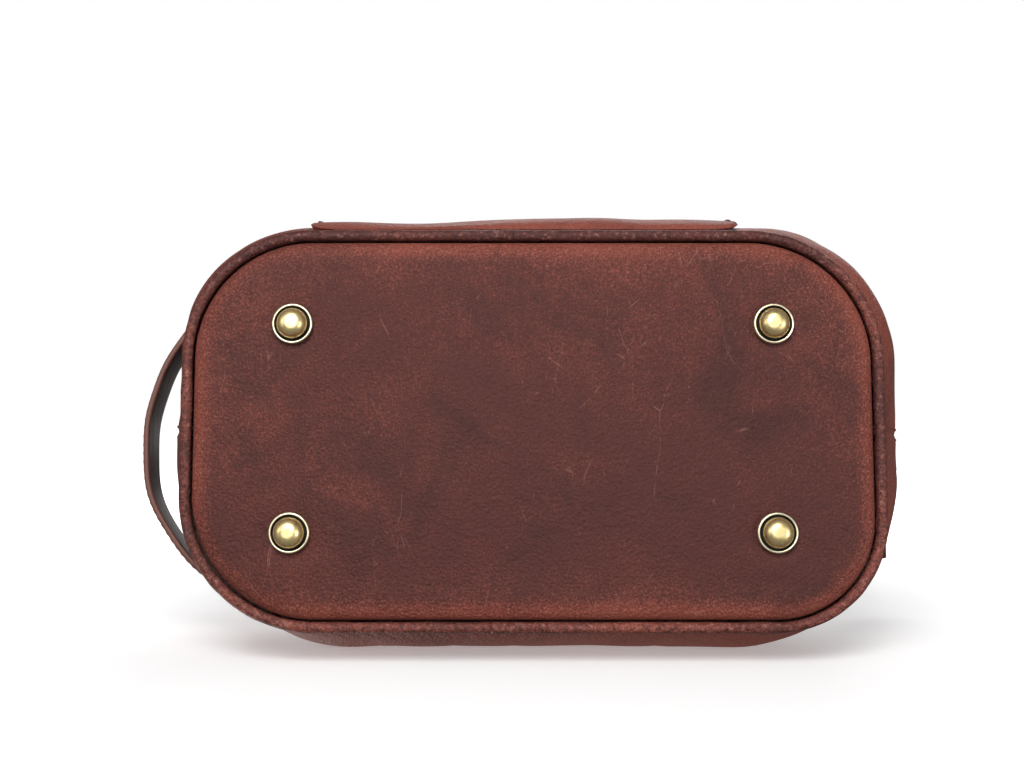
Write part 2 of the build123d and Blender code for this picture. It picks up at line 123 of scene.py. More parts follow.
class KitBagSizes(bpy.types.PropertyGroup):
    """Sizes that change the make of the bag without changing its outline."""

    crown: length("Base crown", "How far the padded base swells below its edge", 1.1)
    roll: length("Base roll", "Width of the rolled edge of the base", 11.0)
    piping: length("Piping radius", "Radius of the corded piping", 2.1)
    leather: length("Leather", "Thickness of the body leather", 1.8)
    stitch: length("Stitch pitch", "Distance from stitch to stitch", 3.4)
    wrinkle: length("Wrinkles", "Depth of the creases in the body leather", 0.9)


def tone(name):
    """A colour from the panel."""
    return tuple(getattr(bpy.context.scene.kit_bag_colours, name))


def size(name):
    """A size from the panel, in millimetres."""
    return getattr(bpy.context.scene.kit_bag_sizes, name) / MM


# --- formulas shared by the surfaces ------------------------------------------------------
def unit(vectors):
    """Vectors brought to length 1."""
    return vectors / np.maximum(np.linalg.norm(vectors, axis=-1, keepdims=True), 1e-12)


def ease(value):
    """Smooth step: 3t squared minus 2t cubed, with t held between 0 and 1."""
    t = np.clip(value, 0, 1)
    return t * t * (3 - 2 * t)


def waves(points, wavelength, seed, count=14):
    """Sum of plane sine waves with seeded directions and phases, scaled to about -1 to 1."""
    draw = np.random.default_rng(seed)
    directions = draw.normal(size=(count, 3))
    directions /= np.linalg.norm(directions, axis=1)[:, None]
    numbers = 2 * pi / (wavelength * draw.uniform(0.7, 1.5, count))
    phases = draw.uniform(0, 2 * pi, count)
    total = np.sin(np.asarray(points) @ (directions * numbers[:, None]).T + phases).sum(-1)
    return total / np.sqrt(count)


def creases(points, wavelength, seed):
    """Narrow valleys: one minus the root of the absolute value of a wave sum."""
    return 1 - np.sqrt(np.minimum(np.abs(waves(points, wavelength, seed)) * 2.2, 1))


def rounded_outline(turn, half_length, half_depth, corner):
    """Rounded rectangle by share of a turn, from the middle of the -X side by way of -Y.

    Each quarter is a short straight, a quarter circle and a long straight, which always take
    the same shares of the turn, so outlines of different sizes match point for point.
    """
    short, bend = 0.2, 0.5
    turn = np.mod(turn, 1)
    quarter = np.minimum(np.floor(turn * 4), 3)
    share = turn * 4 - quarter
    share = np.where(quarter % 2 == 0, share, 1 - share)
    flat_x = half_length - corner
    flat_y = half_depth - corner
    angle = np.clip((share - short) / (bend - short), 0, 1) * pi / 2
    rest = np.clip((share - bend) / (1 - bend), 0, 1)
    x = np.where(share < bend, flat_x + corner * np.cos(angle), flat_x * (1 - rest))
    y = np.where(share < short, flat_y * share / short, flat_y + corner * np.sin(angle))
    x = x * np.where((quarter == 1) | (quarter == 2), 1, -1)
    return x, y * np.where(quarter < 2, -1, 1)


def quarter_of(turn):
    """Which quarter of the outline a share of a turn falls in, from the handle end's front."""
    return (np.floor(np.mod(turn, 1) * 4) % 4).astype(int)


BASE_CORNERS = np.array([44.0, 46.0, 37.5, 46.5])   # radius of each of the base's corners
BODY_CORNERS = np.array([-6.0, -6.0, 9.0, 12.0])    # how much rounder the full body is there
BULGE = (292.0, 170.0, 62.0)    # length, depth and corner of the body at its fullest
MOUTH = (240.0, 28.0, 13.0)     # the same at the rim
TUCK = (17.0, 12.0, 18.0)       # how far it draws in again above the piping
TUCK_REACH = 0.32               # share of the body's height over which it does so


def body_section(height):
    """Half length, half depth and corner of the body: a dome that draws in at the foot."""
    share = np.clip((height - BODY_FLOOR) / (RIM - BODY_FLOOR), 0, 1)
    dome = (1 - share**2.4) ** 0.75
    tuck = np.maximum(0, 1 - share / TUCK_REACH) ** 2
    half_length = (MOUTH[0] + (BULGE[0] - MOUTH[0]) * dome) / 2 - TUCK[0] * tuck
    half_depth = (MOUTH[1] + (BULGE[1] - MOUTH[1]) * dome) / 2 - TUCK[1] * tuck
    corner = MOUTH[2] + (BULGE[2] - MOUTH[2]) * dome - TUCK[2] * tuck
    return half_length, half_depth, corner


def slump(x, height):
    """Sideways settling of the full part: in at the handle's end, level at the other."""
    shrink, shift = 0.018, 2.4
    swell = ease((height - BODY_FLOOR) / 26) * ease((RIM - height) / 70)
    return x * (1 - shrink * swell) + shift * swell


def body_point(turn, height, outset=0.0):
    """Point of the body at a share of a turn and a height, moved outward by outset."""
    turn, height, outset = np.broadcast_arrays(
        np.asarray(turn, float), np.asarray(height, float), np.asarray(outset, float)
    )
    half_length, half_depth, corner = body_section(height)
    swell = ease((height - BODY_FLOOR) / 14) * ease((RIM - height) / 80)
    corner = corner + BODY_CORNERS[quarter_of(turn)] * swell
    corner = np.minimum(corner, half_depth - 0.5)
    x, y = rounded_outline(turn, half_length + outset, half_depth + outset, corner + outset)
    return np.stack([slump(x, height), y, height], -1)


def body_normal(turn, height):
    """Outward direction of the body: the cross product of its two slopes."""
    step = 1e-3
    along = body_point((turn + step) % 1, height) - body_point((turn - step) % 1, height)
    low = body_point(turn, np.maximum(height - 0.3, BODY_FLOOR))
    high = body_point(turn, np.minimum(height + 0.3, RIM - 0.05))
    return unit(np.cross(along, high - low))


# --- meshes -------------------------------------------------------------------------------
def grid_faces(rows, columns, wrap_rows=False, wrap_columns=False):
    """Quads of a grid whose points are numbered row by row."""
    i = np.arange(rows if wrap_rows else rows - 1)[:, None]
    j = np.arange(columns if wrap_columns else columns - 1)[None, :]
    ni, nj = (i + 1) % rows, (j + 1) % columns
    corners = np.broadcast_arrays(
        i * columns + j, ni * columns + j, ni * columns + nj, i * columns + nj
    )
    return np.stack(corners, -1).reshape(-1, 4)


def make_piece(
    name, points, faces, materials, fields=None, merge=False, crisp=None, flip=False, parts=None
):
    """Mesh object from points in millimetres about the base's middle, with smooth faces.

    fields are numbers per point for the materials, and parts is each face's material. merge
    closes poles and seams and turns the faces of a closed shape outward. crisp is the angle
    past which an edge stays sharp.
    """
    points = (np.asarray(points, float).reshape(-1, 3) + BASE_MIDDLE) * MM
    faces = np.asarray(faces)
    if flip:
        faces = faces[:, ::-1]
    mesh = bpy.data.meshes.new(name)
    mesh.from_pydata(points.tolist(), [], faces.tolist())
    for field, values in (fields or {}).items():
        layer = mesh.attributes.new(field, "FLOAT", "POINT")
        layer.data.foreach_set("value", np.asarray(values, np.float32).ravel())
    if parts is not None:
        mesh.polygons.foreach_set("material_index", np.asarray(parts, np.int32).ravel())
    if merge:
        work = bmesh.new()
        work.from_mesh(mesh)
        bmesh.ops.remove_doubles(work, verts=work.verts, dist=1e-7)
        bmesh.ops.dissolve_degenerate(work, edges=work.edges, dist=1e-8)
        bmesh.ops.recalc_face_normals(work, faces=work.faces)
        work.to_mesh(mesh)
        work.free()
    mesh.shade_smooth()
    if crisp:
        mesh.set_sharp_from_angle(angle=radians(crisp))
    for material in materials:
        mesh.materials.append(material)
    piece = bpy.data.objects.new(name, mesh)
    bpy.context.scene.collection.objects.link(piece)
    return piece


def sheet_piece(name, grid, materials, fields=None, **settings):
    """Piece from one open grid of points."""
    return make_piece(name, grid, grid_faces(*grid.shape[:2]), materials, fields, **settings)


def tube_piece(name, rings, materials, fields=None, **settings):
    """Closed piece from rings of points, drawn together at both ends."""
    faces = grid_faces(*rings.shape[:2], wrap_columns=True)
    return make_piece(name, rings, faces, materials, fields, merge=True, **settings)


def ride_bag(piece, slot, *nodes):
    """A piece that stays with the bag, hiding the solids that it stands for; slot is not used."""
    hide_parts(*nodes)
    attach(piece, "bag")


def join_grids(grids, wrap_rows=False, wrap_columns=False):
    """Points and faces of several grids put together."""
    points, faces, start = [], [], 0
    for grid in grids:
        rows, columns = grid.shape[:2]
        points.append(grid.reshape(-1, 3))
        faces.append(grid_faces(rows, columns, wrap_rows, wrap_columns) + start)
        start += rows * columns
    return np.concatenate(points), np.concatenate(faces)


def thicken(piece, thickness, inner_material=0):
    """Gives an open sheet its thickness inward, with another material on the inner side."""
    shell = piece.modifiers.new("Thickness", "SOLIDIFY")
    shell.thickness = thickness * MM
    shell.offset = -1
    shell.use_even_offset = False
    shell.material_offset = inner_material
    bpy.context.view_layer.update()
    solid = piece.evaluated_get(bpy.context.evaluated_depsgraph_get())
    mesh = bpy.data.meshes.new_from_object(solid)
    piece.modifiers.clear()
    mesh.name = piece.name
    mesh.set_sharp_from_angle(angle=radians(55))
    piece.data = mesh


def carry(profile, centres, sides, ups, girth=1.0):
    """Closed profile carried along a path: centre plus side and up parts of each profile point.

    girth widens it along the way, and an extra ring at each end is drawn together to the path.
    """
    girth = np.broadcast_to(girth, len(centres))[:, None, None]
    rings = profile[None, :, :1] * sides[:, None] + profile[None, :, 1:] * ups[:, None]
    rings = centres[:, None] + rings * girth
    first = np.repeat(centres[:1, None], len(profile), 1)
    last = np.repeat(centres[-1:, None], len(profile), 1)
    return np.concatenate([first, rings, last])


def along_path(points):
    """Unit directions along a path, from each point's neighbours."""
    slopes = np.gradient(points, axis=0)
    return slopes / np.linalg.norm(slopes, axis=-1, keepdims=True)


def round_profile(count, radius):
    """Circle of points."""
    angles = np.arange(count) / count * 2 * pi
    return np.stack([np.cos(angles), np.sin(angles)], -1) * radius


def flat_profile(width, thick, edge, count=5):
    """Rounded rectangle, side by up, with edges rounded by edge."""
    corners = []
    angles = np.linspace(0, pi / 2, count)
    for quarter, (sx, sy) in enumerate(((1, 1), (-1, 1), (-1, -1), (1, -1))):
        turned = angles + quarter * pi / 2
        middle = np.array([sx * (width / 2 - edge), sy * (thick / 2 - edge)])
        corners.append(middle + edge * np.stack([np.cos(turned), np.sin(turned)], -1))
    return np.concatenate(corners)


def revolve(profile, places):
    """Profile of radius and height turned about an upright axis at each place."""
    ring = np.append(round_profile(TURNED_POINTS, 1.0), np.zeros((TURNED_POINTS, 1)), 1)
    grid = ring[:, None] * profile[None, :, :1] + profile[None, :, 1:] * np.array([0, 0, 1.0])
    return [grid + np.array(place) for place in places]


def resample(marks, travelled, values):
    """Values known along a path, read off at marks on straight lines between them."""
    return np.stack([np.interp(marks, travelled, column) for column in values.T], -1)


def stitch_row(points, normals, pitch):
    """Row of thread stitches, each a long ellipsoid lying on the surface along a path."""
    radius, lift = 0.36, 0.12
    steps = np.linalg.norm(np.diff(points, axis=0), axis=1)
    travelled = np.concatenate([[0], np.cumsum(steps)])
    count = max(int(travelled[-1] / pitch), 1)
    marks = (np.arange(count) + 0.5) * travelled[-1] / count
    spot = resample(marks, travelled, points)
    up = unit(resample(marks, travelled, normals))
    ahead = unit(resample(marks, travelled, along_path(points)))
    side = unit(np.cross(up, ahead))
    around = np.arange(6) / 6 * 2 * pi
    down = np.linspace(0, pi, 6)
    shape = np.stack([
        np.cos(down)[:, None] * np.ones(6) * pitch * 0.39,
        np.sin(down)[:, None] * np.cos(around) * radius * 1.2,
        np.sin(down)[:, None] * np.sin(around) * radius,
    ], -1)
    middle = spot + up * lift
    return list(
        middle[:, None, None] + shape[None, ..., :1] * ahead[:, None, None]
        + shape[None, ..., 1:2] * side[:, None, None] + shape[None, ..., 2:] * up[:, None, None]
    )


def sew(name, rows, pitch=None):
    """One piece of thread from rows of (points, normals)."""
    blocks = [block for row in rows for block in stitch_row(*row, pitch or size("stitch"))]
    points, faces = join_grids(blocks, wrap_columns=True)
    return make_piece(name, points, faces, [thread_material()], merge=True)


# --- materials ----------------------------------------------------------------------------
class Number:
    """A number that varies over a surface; arithmetic on it adds Math nodes."""

    def __init__(self, shader, socket):
        self.shader = shader
        self.socket = socket

    def calculate(self, operation, first, second):
        """Result of a Math node."""
        node = self.shader.add("ShaderNodeMath", {"operation": operation}, {0: first, 1: second})
        return Number(self.shader, node.outputs[0])

    def __add__(self, other):
        return self.calculate("ADD", self, other)

    __radd__ = __add__

    def __sub__(self, other):
        return self.calculate("SUBTRACT", self, other)

    def __rsub__(self, other):
        return self.calculate("SUBTRACT", other, self)

    def __mul__(self, other):
        return self.calculate("MULTIPLY", self, other)

    __rmul__ = __mul__

    def between(self, low, high):
        """0 at low, 1 at high, with a smooth step between."""
        node = self.shader.add(
            "ShaderNodeMapRange", {"interpolation_type": "SMOOTHSTEP"},
            {"Value": self, "From Min": low, "From Max": high},
        )
        return Number(self.shader, node.outputs["Result"])


class Shader:
    """A material's node tree, with one way of adding every kind of node."""

    def __init__(self, name, **constants):
        self.material = bpy.data.materials.new(name)
        self.material.use_nodes = True
        self.tree = self.material.node_tree
        self.surface = self.tree.nodes["Principled BSDF"]
        for socket, value in constants.items():
            title = socket.replace("_", " ").title().replace("Ior", "IOR")
            self.surface.inputs[title].default_value = value
        self.place = self.add("ShaderNodeTexCoord").outputs["Object"]

    def add(self, kind, settings=None, inputs=None):
        """Node of any kind: its settings first, then its sockets' values or links."""
        node = self.tree.nodes.new(kind)
        for setting, value in (settings or {}).items():
            setattr(node, setting, value)
        for socket, value in (inputs or {}).items():
            target = node.inputs[socket]
            if isinstance(value, Number):
                value = value.socket
            if isinstance(value, bpy.types.NodeSocket):
                self.tree.links.new(value, target)
            elif isinstance(value, (tuple, list)) and target.type == "RGBA":
                target.default_value = (*value[:3], 1)
            else:
                target.default_value = value
        return node

    def noise(self, scale, detail=3, roughness=0.55, distortion=0, place=None):
        """Cloudy noise about 0.5."""
        node = self.add("ShaderNodeTexNoise", None, {
            "Vector": place or self.place, "Scale": scale, "Detail": detail,
            "Roughness": roughness, "Distortion": distortion,
        })
        return Number(self, node.outputs["Fac"])

    def cells(self, scale, place=None, feature="F1"):
        """Distance to the middle or the edge of the nearest random cell."""
        inputs = {"Vector": place or self.place, "Scale": scale}
        node = self.add("ShaderNodeTexVoronoi", {"feature": feature}, inputs)
        return Number(self, node.outputs["Distance"])

    def stretched(self, scale, turned=(0, 0, 0), place=None):
        """Coordinates turned and scaled."""
        inputs = {"Vector": place or self.place, "Scale": scale, "Rotation": turned}
        return self.add("ShaderNodeMapping", None, inputs).outputs["Vector"]

    def vector(self, operation, inputs):
        """Result of a Vector Math node."""
        return self.add("ShaderNodeVectorMath", {"operation": operation}, inputs).outputs[0]

    def warped(self, scale, reach):
        """Object coordinates pushed about by coloured noise."""
        inputs = {"Vector": self.place, "Scale": scale, "Detail": 2}
        noise = self.add("ShaderNodeTexNoise", None, inputs)
        shift = self.vector("SUBTRACT", {0: noise.outputs["Color"], 1: (0.5, 0.5, 0.5)})
        small = self.vector("SCALE", {0: shift, "Scale": reach})
        return self.vector("ADD", {0: self.place, 1: small})

    def field(self, name):
        """Number stored per point on the mesh."""
        node = self.add("ShaderNodeAttribute", {"attribute_name": name})
        return Number(self, node.outputs["Fac"])

    def mix(self, factor, first, second):
        """Colour between two colours."""
        inputs = {"Factor": factor, 6: first, 7: second}
        return self.add("ShaderNodeMix", {"data_type": "RGBA"}, inputs).outputs[2]

    def bump(self, height, distance, strength, normal=None):
        """Relief of a height, whose distance is in millimetres, over another relief."""
        inputs = {"Height": height, "Distance": distance * MM, "Strength": strength}
        if normal:
            inputs["Normal"] = normal
        return self.add("ShaderNodeBump", None, inputs).outputs["Normal"]

    def finish(self, colour, roughness, normal, metallic=None):
        """Links what varies over the surface, and gives the material."""
        links = {"Base Color": colour, "Roughness": roughness.socket, "Normal": normal}
        if metallic:
            links["Metallic"] = metallic.socket
        for socket, value in links.items():
            self.tree.links.new(value, self.surface.inputs[socket])
        return self.material


def made_once(build):
    """Keeps a material's builder from making it twice."""
    def get():
        """The material, built when it is first asked for."""
        name = build.__name__.removesuffix("_material") + "_finish"
        return bpy.data.materials.get(name) or build(name)
    return get


def leather_colour(shader, warm_bias):
    """Waxed leather: two sizes of cloud between deep and warm, darker islands, pale grain tips."""
    broad = shader.noise(9, 3, 0.5, 0.4)
    middle = shader.noise(45, 6, 0.65, 0.5)
    fine = shader.noise(1350, 3, 0.7)
    clouds = (broad * 0.5 + middle * 0.5).between(0.36, 0.66)
    # Per-point field: rubbing, and on the base, the piping and the lower body walls also painted
    # light and painted shade
    wear = shader.field("wear")
    warmth = clouds * 0.3 + warm_bias + (fine - 0.5) * 1.7 + wear
    colour = shader.mix(warmth.between(0, 1), tone("deep"), tone("warm"))
    islands = shader.noise(24, 5, 0.65, 0.8).between(0.48, 0.68)
    colour = shader.mix(islands * (1 - wear.between(0, 0.8)) * 0.5, colour, tone("shade"))
    tips = fine.between(0.54, 0.7) * (wear * 1.3 + clouds * 0.2 + 0.05).between(0, 1)
    colour = shader.mix(tips * 0.6, colour, tone("scuff"))
    return colour, clouds, fine


def hairlines(shader, scale, turned, width):
    """Thin broken lines: the edges of stretched and warped cells, kept only in patches."""
    place = shader.stretched((1, 0.35, 1), turned, shader.warped(30, 0.012))
    line = 1 - shader.cells(scale, place, "DISTANCE_TO_EDGE").between(0, width)
    patches = shader.noise(38, 2, 0.5, 0, shader.stretched((1, 1, 1), turned)).between(0.54, 0.66)
    gaps = shader.noise(160, 2).between(0.44, 0.6)
    return line * patches * gaps


def leather_grain(shader, depth=0.45, crease_depth=0.6):
    """Pebbled grain with pores over soft creases, as two bumps."""
    pebbles = shader.cells(820, shader.warped(300, 0.0014))
    small = shader.noise(1500, 3, 0.65)
    soft = shader.noise(90, 5, 0.6, 0.8)
    creased = shader.bump(soft, crease_depth, 0.7)
    return shader.bump(pebbles * 0.8 + small * 0.7, depth, 0.9, creased)


@made_once
def panel_leather_material(name):
    """Base leather: the deepest tone, warmer on the roll, with scuffs and hairlines."""
    shader = Shader(name, ior=1.45, specular_ior_level=0.17)
    colour, clouds, fine = leather_colour(shader, 0.0)
    lines = (
        hairlines(shader, 60, (0, 0, 0.7), 0.011) * 0.6
        + hairlines(shader, 42, (0, 0, -0.5), 0.008) * 0.6
        + hairlines(shader, 95, (0, 0, 0.1), 0.016) * 0.5
    )
    specks = shader.cells(150).between(0.07, 0.03) * shader.noise(60, 2).between(0.58, 0.66)
    colour = shader.mix((lines + specks * 0.6).between(0, 1.0) * 0.5, colour, tone("scuff"))
    roughness = 0.5 + clouds * 0.06 + (fine - 0.5) * 0.3 + lines * 0.08
    return shader.finish(colour, roughness, leather_grain(shader))


@made_once
def body_leather_material(name):
    """Body leather: a little warmer, with deeper creases."""
    shader = Shader(name, ior=1.45, specular_ior_level=0.2)
    colour, clouds, fine = leather_colour(shader, 0.3)
    lines = hairlines(shader, 45, (0.4, 0.9, 0.2), 0.008)
    colour = shader.mix(lines * 0.35, colour, tone("scuff"))
    roughness = 0.56 + clouds * 0.08 + (fine - 0.5) * 0.3
    return shader.finish(colour, roughness, leather_grain(shader, 0.45, 1.2))


@made_once
def piping_leather_material(name):
    """Piping leather: stretched and warm, rubbed paler in flecks along its crest."""
    shader = Shader(name, ior=1.45, specular_ior_level=0.24)
    colour, clouds, fine = leather_colour(shader, 0.08)
    rubs = shader.noise(520, 5, 0.75)
    flecks = rubs.between(0.54, 0.64) * shader.field("crest") * 0.4
    colour = shader.mix(flecks, colour, tone("scuff"))
    colour = shader.mix(rubs.between(0.47, 0.38) * 0.8, colour, tone("shade"))
    roughness = 0.44 + (fine - 0.5) * 0.3 + clouds * 0.05
    return shader.finish(colour, roughness, leather_grain(shader, 0.4, 0.7))


@made_once
def dark_leather_material(name):
    """Smooth dark leather with fine diagonal wrinkles."""
    shader = Shader(name, ior=1.45, specular_ior_level=0.16)
    folds = shader.noise(210, 4, 0.6, 0.8, shader.stretched((1, 0.35, 1), (0.9, 0.2, 0.3)))
    fine = shader.noise(900, 3, 0.6)
    colour = shader.mix(folds.between(0.4, 0.75) * 0.5, tone("dark"), tone("deep"))
    roughness = 0.5 + folds * 0.18 + (fine - 0.5) * 0.2
    wrinkled = shader.bump(folds, 0.8, 0.7)
    return shader.finish(colour, roughness, shader.bump(fine, 0.12, 0.7, wrinkled))


@made_once
def burnished_edge_material(name):
    """Cut leather edge, dressed and rubbed, with fibres along it."""
    shader = Shader(name, ior=1.45)
    fibres = shader.noise(420, 4, 0.6, 0.3, shader.stretched((1, 1, 0.4)))
    colour = shader.mix(fibres.between(0.45, 0.75) * 0.5, tone("edge"), tone("warm"))
    roughness = 0.38 + fibres * 0.2
    return shader.finish(colour, roughness, shader.bump(fibres, 0.15, 0.7))


@made_once
def thread_material(name):
    """Waxed thread: two plies seen as a fine slanting twist."""
    shader = Shader(name, ior=1.45)
    twist = shader.noise(2600, 2, 0.5, 0.5, shader.stretched((1, 1, 0.5), (0.5, 0.5, 0.6)))
    colour = shader.mix(twist.between(0.35, 0.65), tone("thread"), tone("warm"))
    return shader.finish(colour, 0.45 + twist * 0.25, shader.bump(twist, 0.1, 0.8))


@made_once
def foot_brass_material(name):
    """Antique brass: bright where it is rubbed, brown-black where the field named wear is low; on
    the feet that field holds only rubbing.
    """
    shader = Shader(name)
    mottle = shader.noise(380, 5, 0.65, 0.8)
    spots = shader.noise(1300, 4, 0.6)
    rubbed = (shader.field("wear") + (mottle - 0.5) * 0.45).between(0.2, 0.65)
    colour = shader.mix(mottle.between(0.46, 0.74) * 0.75, tone("gold"), (0.5, 0.31, 0.1))
    colour = shader.mix(shader.field("pale") * 0.8, colour, (0.84, 0.8, 0.62))
    colour = shader.mix(rubbed, tone("patina"), colour)
    roughness = 0.5 - rubbed * 0.12 + (spots - 0.5) * 0.2
    roughness = roughness + (1 - rubbed) * 0.2
    relief = shader.bump(mottle * 0.6 + spots * 0.3, 0.08, 0.4)
    return shader.finish(colour, roughness, relief, 0.3 + rubbed * 0.7)


@made_once
def zip_brass_material(name):
    """Antique zip brass: brushed, with brown in the low spots."""
    shader = Shader(name)
    cloud = shader.noise(240, 4, 0.6)
    fine = shader.noise(1500, 3, 0.6, 0, shader.stretched((1, 0.3, 1)))
    colour = shader.mix(cloud.between(0.42, 0.72) * 0.7, tone("metal"), tone("patina"))
    metallic = 1 - cloud.between(0.55, 0.8) * 0.2
    roughness = 0.3 + (fine - 0.5) * 0.2 + cloud * 0.08
    return shader.finish(colour, roughness, shader.bump(fine, 0.05, 0.5), metallic)


def weave(shader, pitch):
    """Two crossed sine ridges, one per thread direction, at a pitch in millimetres."""
    inputs = {
        "Vector": shader.place, "Scale": 0.314 / (pitch * MM) / 2, "Distortion": 0.6,
        "Detail": 1, "Detail Scale": 2,
    }
    along, across = (
        shader.add("ShaderNodeTexWave", {"bands_direction": axis}, inputs) for axis in ("X", "Z")
    )
    return Number(shader, along.outputs["Fac"]) * 0.5 + Number(shader, across.outputs["Fac"]) * 0.5


@made_once
def zip_tape_material(name):
    """Woven zip tape with fine ribs."""
    shader = Shader(name, sheen_weight=0.3, sheen_roughness=0.5)
    ribs = weave(shader, 0.7)
    cloud = shader.noise(120, 3)
    colour = shader.mix(ribs * 0.6 + cloud * 0.3, tone("tape"), (0.09, 0.05, 0.038))
    return shader.finish(colour, 0.75 + ribs * 0.15, shader.bump(ribs, 0.2, 0.8))


@made_once
def lining_cloth_material(name):
    """Plain-woven cotton lining."""
    shader = Shader(name, sheen_weight=0.25, sheen_roughness=0.5)
    threads = weave(shader, 0.55)
    cloud = shader.noise(45, 4, 0.6)
    paler = tuple(channel * 1.45 for channel in tone("lining"))
    colour = shader.mix(threads * 0.5 + cloud * 0.5, tone("lining"), paler)
    return shader.finish(colour, 0.8 + threads * 0.1, shader.bump(threads, 0.15, 0.8))


def plain_stock(name, first, second, scale, rough):
    """Board, foam, cord or steel that sits inside: speckled between two tones."""
    shader = Shader(name)
    speckle = shader.noise(scale, 4, 0.6)
    colour = shader.mix(speckle.between(0.35, 0.65), first, second)
    return shader.finish(colour, rough + speckle * 0.15, shader.bump(speckle, 0.15, 0.5))


# --- base, piping and feet ----------------------------------------------------------------
CUP_RADIUS = 7.5
PAD_TOP = 15.5                  # where the base's pad ends inside the body
PIPING_JOINS = (0.2389, 0.774)  # shares of a turn at which its two lengths meet


def base_outline(turn, outset):
    """The base's outline, whose four corners are not quite alike."""
    corner = BASE_CORNERS[quarter_of(turn)] + outset
    return rounded_outline(turn, BASE_HALF_LENGTH + outset, BASE_HALF_DEPTH + outset, corner)


def foot_places():
    """Middles of the four feet, from the box round them."""
    low, high = (np.array(corner) / MM - BASE_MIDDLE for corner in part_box("foot_cups"))
    (left, front), (right, back) = low[:2] + CUP_RADIUS, high[:2] - CUP_RADIUS
    return [(x, y, 0.0) for x in (left, right) for y in (front, back)]


def build_base_panel():
    """Crowned pad: rings scaled out from its middle, then a rolled edge up to the seam.

    The height falls off as the square of the distance from the middle, with a dimple round
    each foot and slow waves; the roll is a quarter of a superellipse.
    """
    roll, crown = size("roll"), size("crown")
    flat_rings, edge_rings, wall_rings = 44, 21, 3
    turn = np.linspace(0, 1, 360, endpoint=False)[:, None]
    inner = np.linspace(0, 1, flat_rings)[None]
    x, y = base_outline(turn, -roll)
    flat = np.stack([x * inner, y * inner, BASE_FLOOR - crown * (1 - inner**2) + 0 * x], -1)
    q = np.sin(np.linspace(0, 1, edge_rings + 1)[None, 1:] * pi / 2)
    rise = 5.6 * (1 - np.sqrt(1 - q**2.3))
    x, y = base_outline(turn, -roll + (roll - 0.55) * q)
    edge = np.stack([x, y, BASE_FLOOR + rise + 0 * x], -1)
    x, y = base_outline(turn, -0.6)
    scale = np.array([[1.0, 0.97, 0.0]])
    wall = np.stack([x * scale, y * scale, PAD_TOP + 0 * x * scale], -1)
    grid = np.concatenate([flat, edge, wall], 1)
    pad = np.ones(grid.shape[1])
    pad[-wall_rings:] = 0
    fade = pad * (1 - 0.7 * (np.arange(grid.shape[1]) > 60))
    grid[..., 2] += fade * (0.16 * waves(grid, 70, 3) + 0.07 * waves(grid, 26, 4))
    for place in foot_places():
        away = np.linalg.norm(grid[..., :2] - np.array(place[:2]), axis=-1)
        dimple = 0.75 * np.exp(-((away / 11) ** 2)) - 0.25 * np.exp(-(((away - 13) / 5) ** 2))
        grid[..., 2] += pad * dimple
    on_roll = np.concatenate([np.zeros(flat_rings), q[0], np.ones(wall_rings)])
    light = 0.5 + 0.5 * waves(grid, 90, 12)
    wear = 0.5 * ease((on_roll - 0.1) / 0.75) * (0.55 + 0.5 * light)
    wear = wear + 0.12 * np.concatenate([inner[0] ** 5, np.ones(edge_rings + wall_rings)])
    # Painted light and painted shade: the pad darker towards +Y, lighter in both -Y corners and
    # darker in the -X, +Y corner; the roll lighter towards +Y and darker towards -Y
    wear = wear * (1 + 0.3 * grid[..., 1] / BASE_HALF_DEPTH) - 0.09 * ease(grid[..., 1] / 60)
    for x, y, amount in ((118, -58, 0.17), (-118, -58, 0.08), (-118, 58, -0.2)):
        away = np.hypot(grid[..., 0] - x, grid[..., 1] - y)
        wear = wear + amount * np.exp(-((away / 32) ** 2))
    faces = grid_faces(*grid.shape[:2], wrap_rows=True)
    piece = make_piece(
        "base_panel_pad", grid, faces, [panel_leather_material()], {"wear": wear}, merge=True
    )
    ride_bag(piece, "base_leather", "base_panel", "base_foam")


def build_piping():
    """Round welt along the base's outline, with a lap where its two lengths are joined.

    The radius swells a little over each lap and wavers along the way; crest marks the side
    that faces down and out, where it is rubbed.
    """
    radius = size("piping")
    middle_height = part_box("piping_left")[0].z / MM + 2.1
    low, high = PIPING_JOINS
    for name, start, end in (("piping_left", high - 1, low), ("piping_right", low, high)):
        turn = np.linspace(start, end, 420)
        x, y = base_outline(turn % 1, radius + 0.15)
        centres = np.stack([x, y, np.full_like(x, middle_height)], -1)
        ahead = along_path(centres)
        up = np.broadcast_to([0.0, 0.0, 1.0], centres.shape)
        side = np.cross(ahead, up)
        waver = 1 + 0.025 * waves(centres, 14, 8) + 0.02 * waves(centres, 5, 9)
        away = np.minimum(turn - start, end - turn) * GIRTH
        lap = 1 + 0.07 * np.exp(-((away / 3.0) ** 2)) - 0.12 * np.exp(-((away / 0.7) ** 2))
        profile = round_profile(CORD_POINTS, radius)
        rings = carry(profile, centres, side, up, waver * lap)
        crest = np.clip(0.3 - 0.8 * profile[:, 1] / radius, 0, 1) ** 2
        crest = np.broadcast_to(crest, rings.shape[:2])
        # Painted shade: the middle of the front stretch is darker and loses its rubbed crest
        front = ease((-rings[..., 1] - 35) / 30) * ease((125 - np.abs(rings[..., 0])) / 40)
        wear = 0.02 + 0.2 * crest * (1 - front) + 0.12 * waves(rings, 60, 21) - 0.22 * front
        fields = {"wear": wear, "crest": crest}
        piece = tube_piece(name + "_welt", rings, [piping_leather_material()], fields)
        ride_bag(piece, "piping_leather", name, *(["piping_cord"] if start < 0 else []))


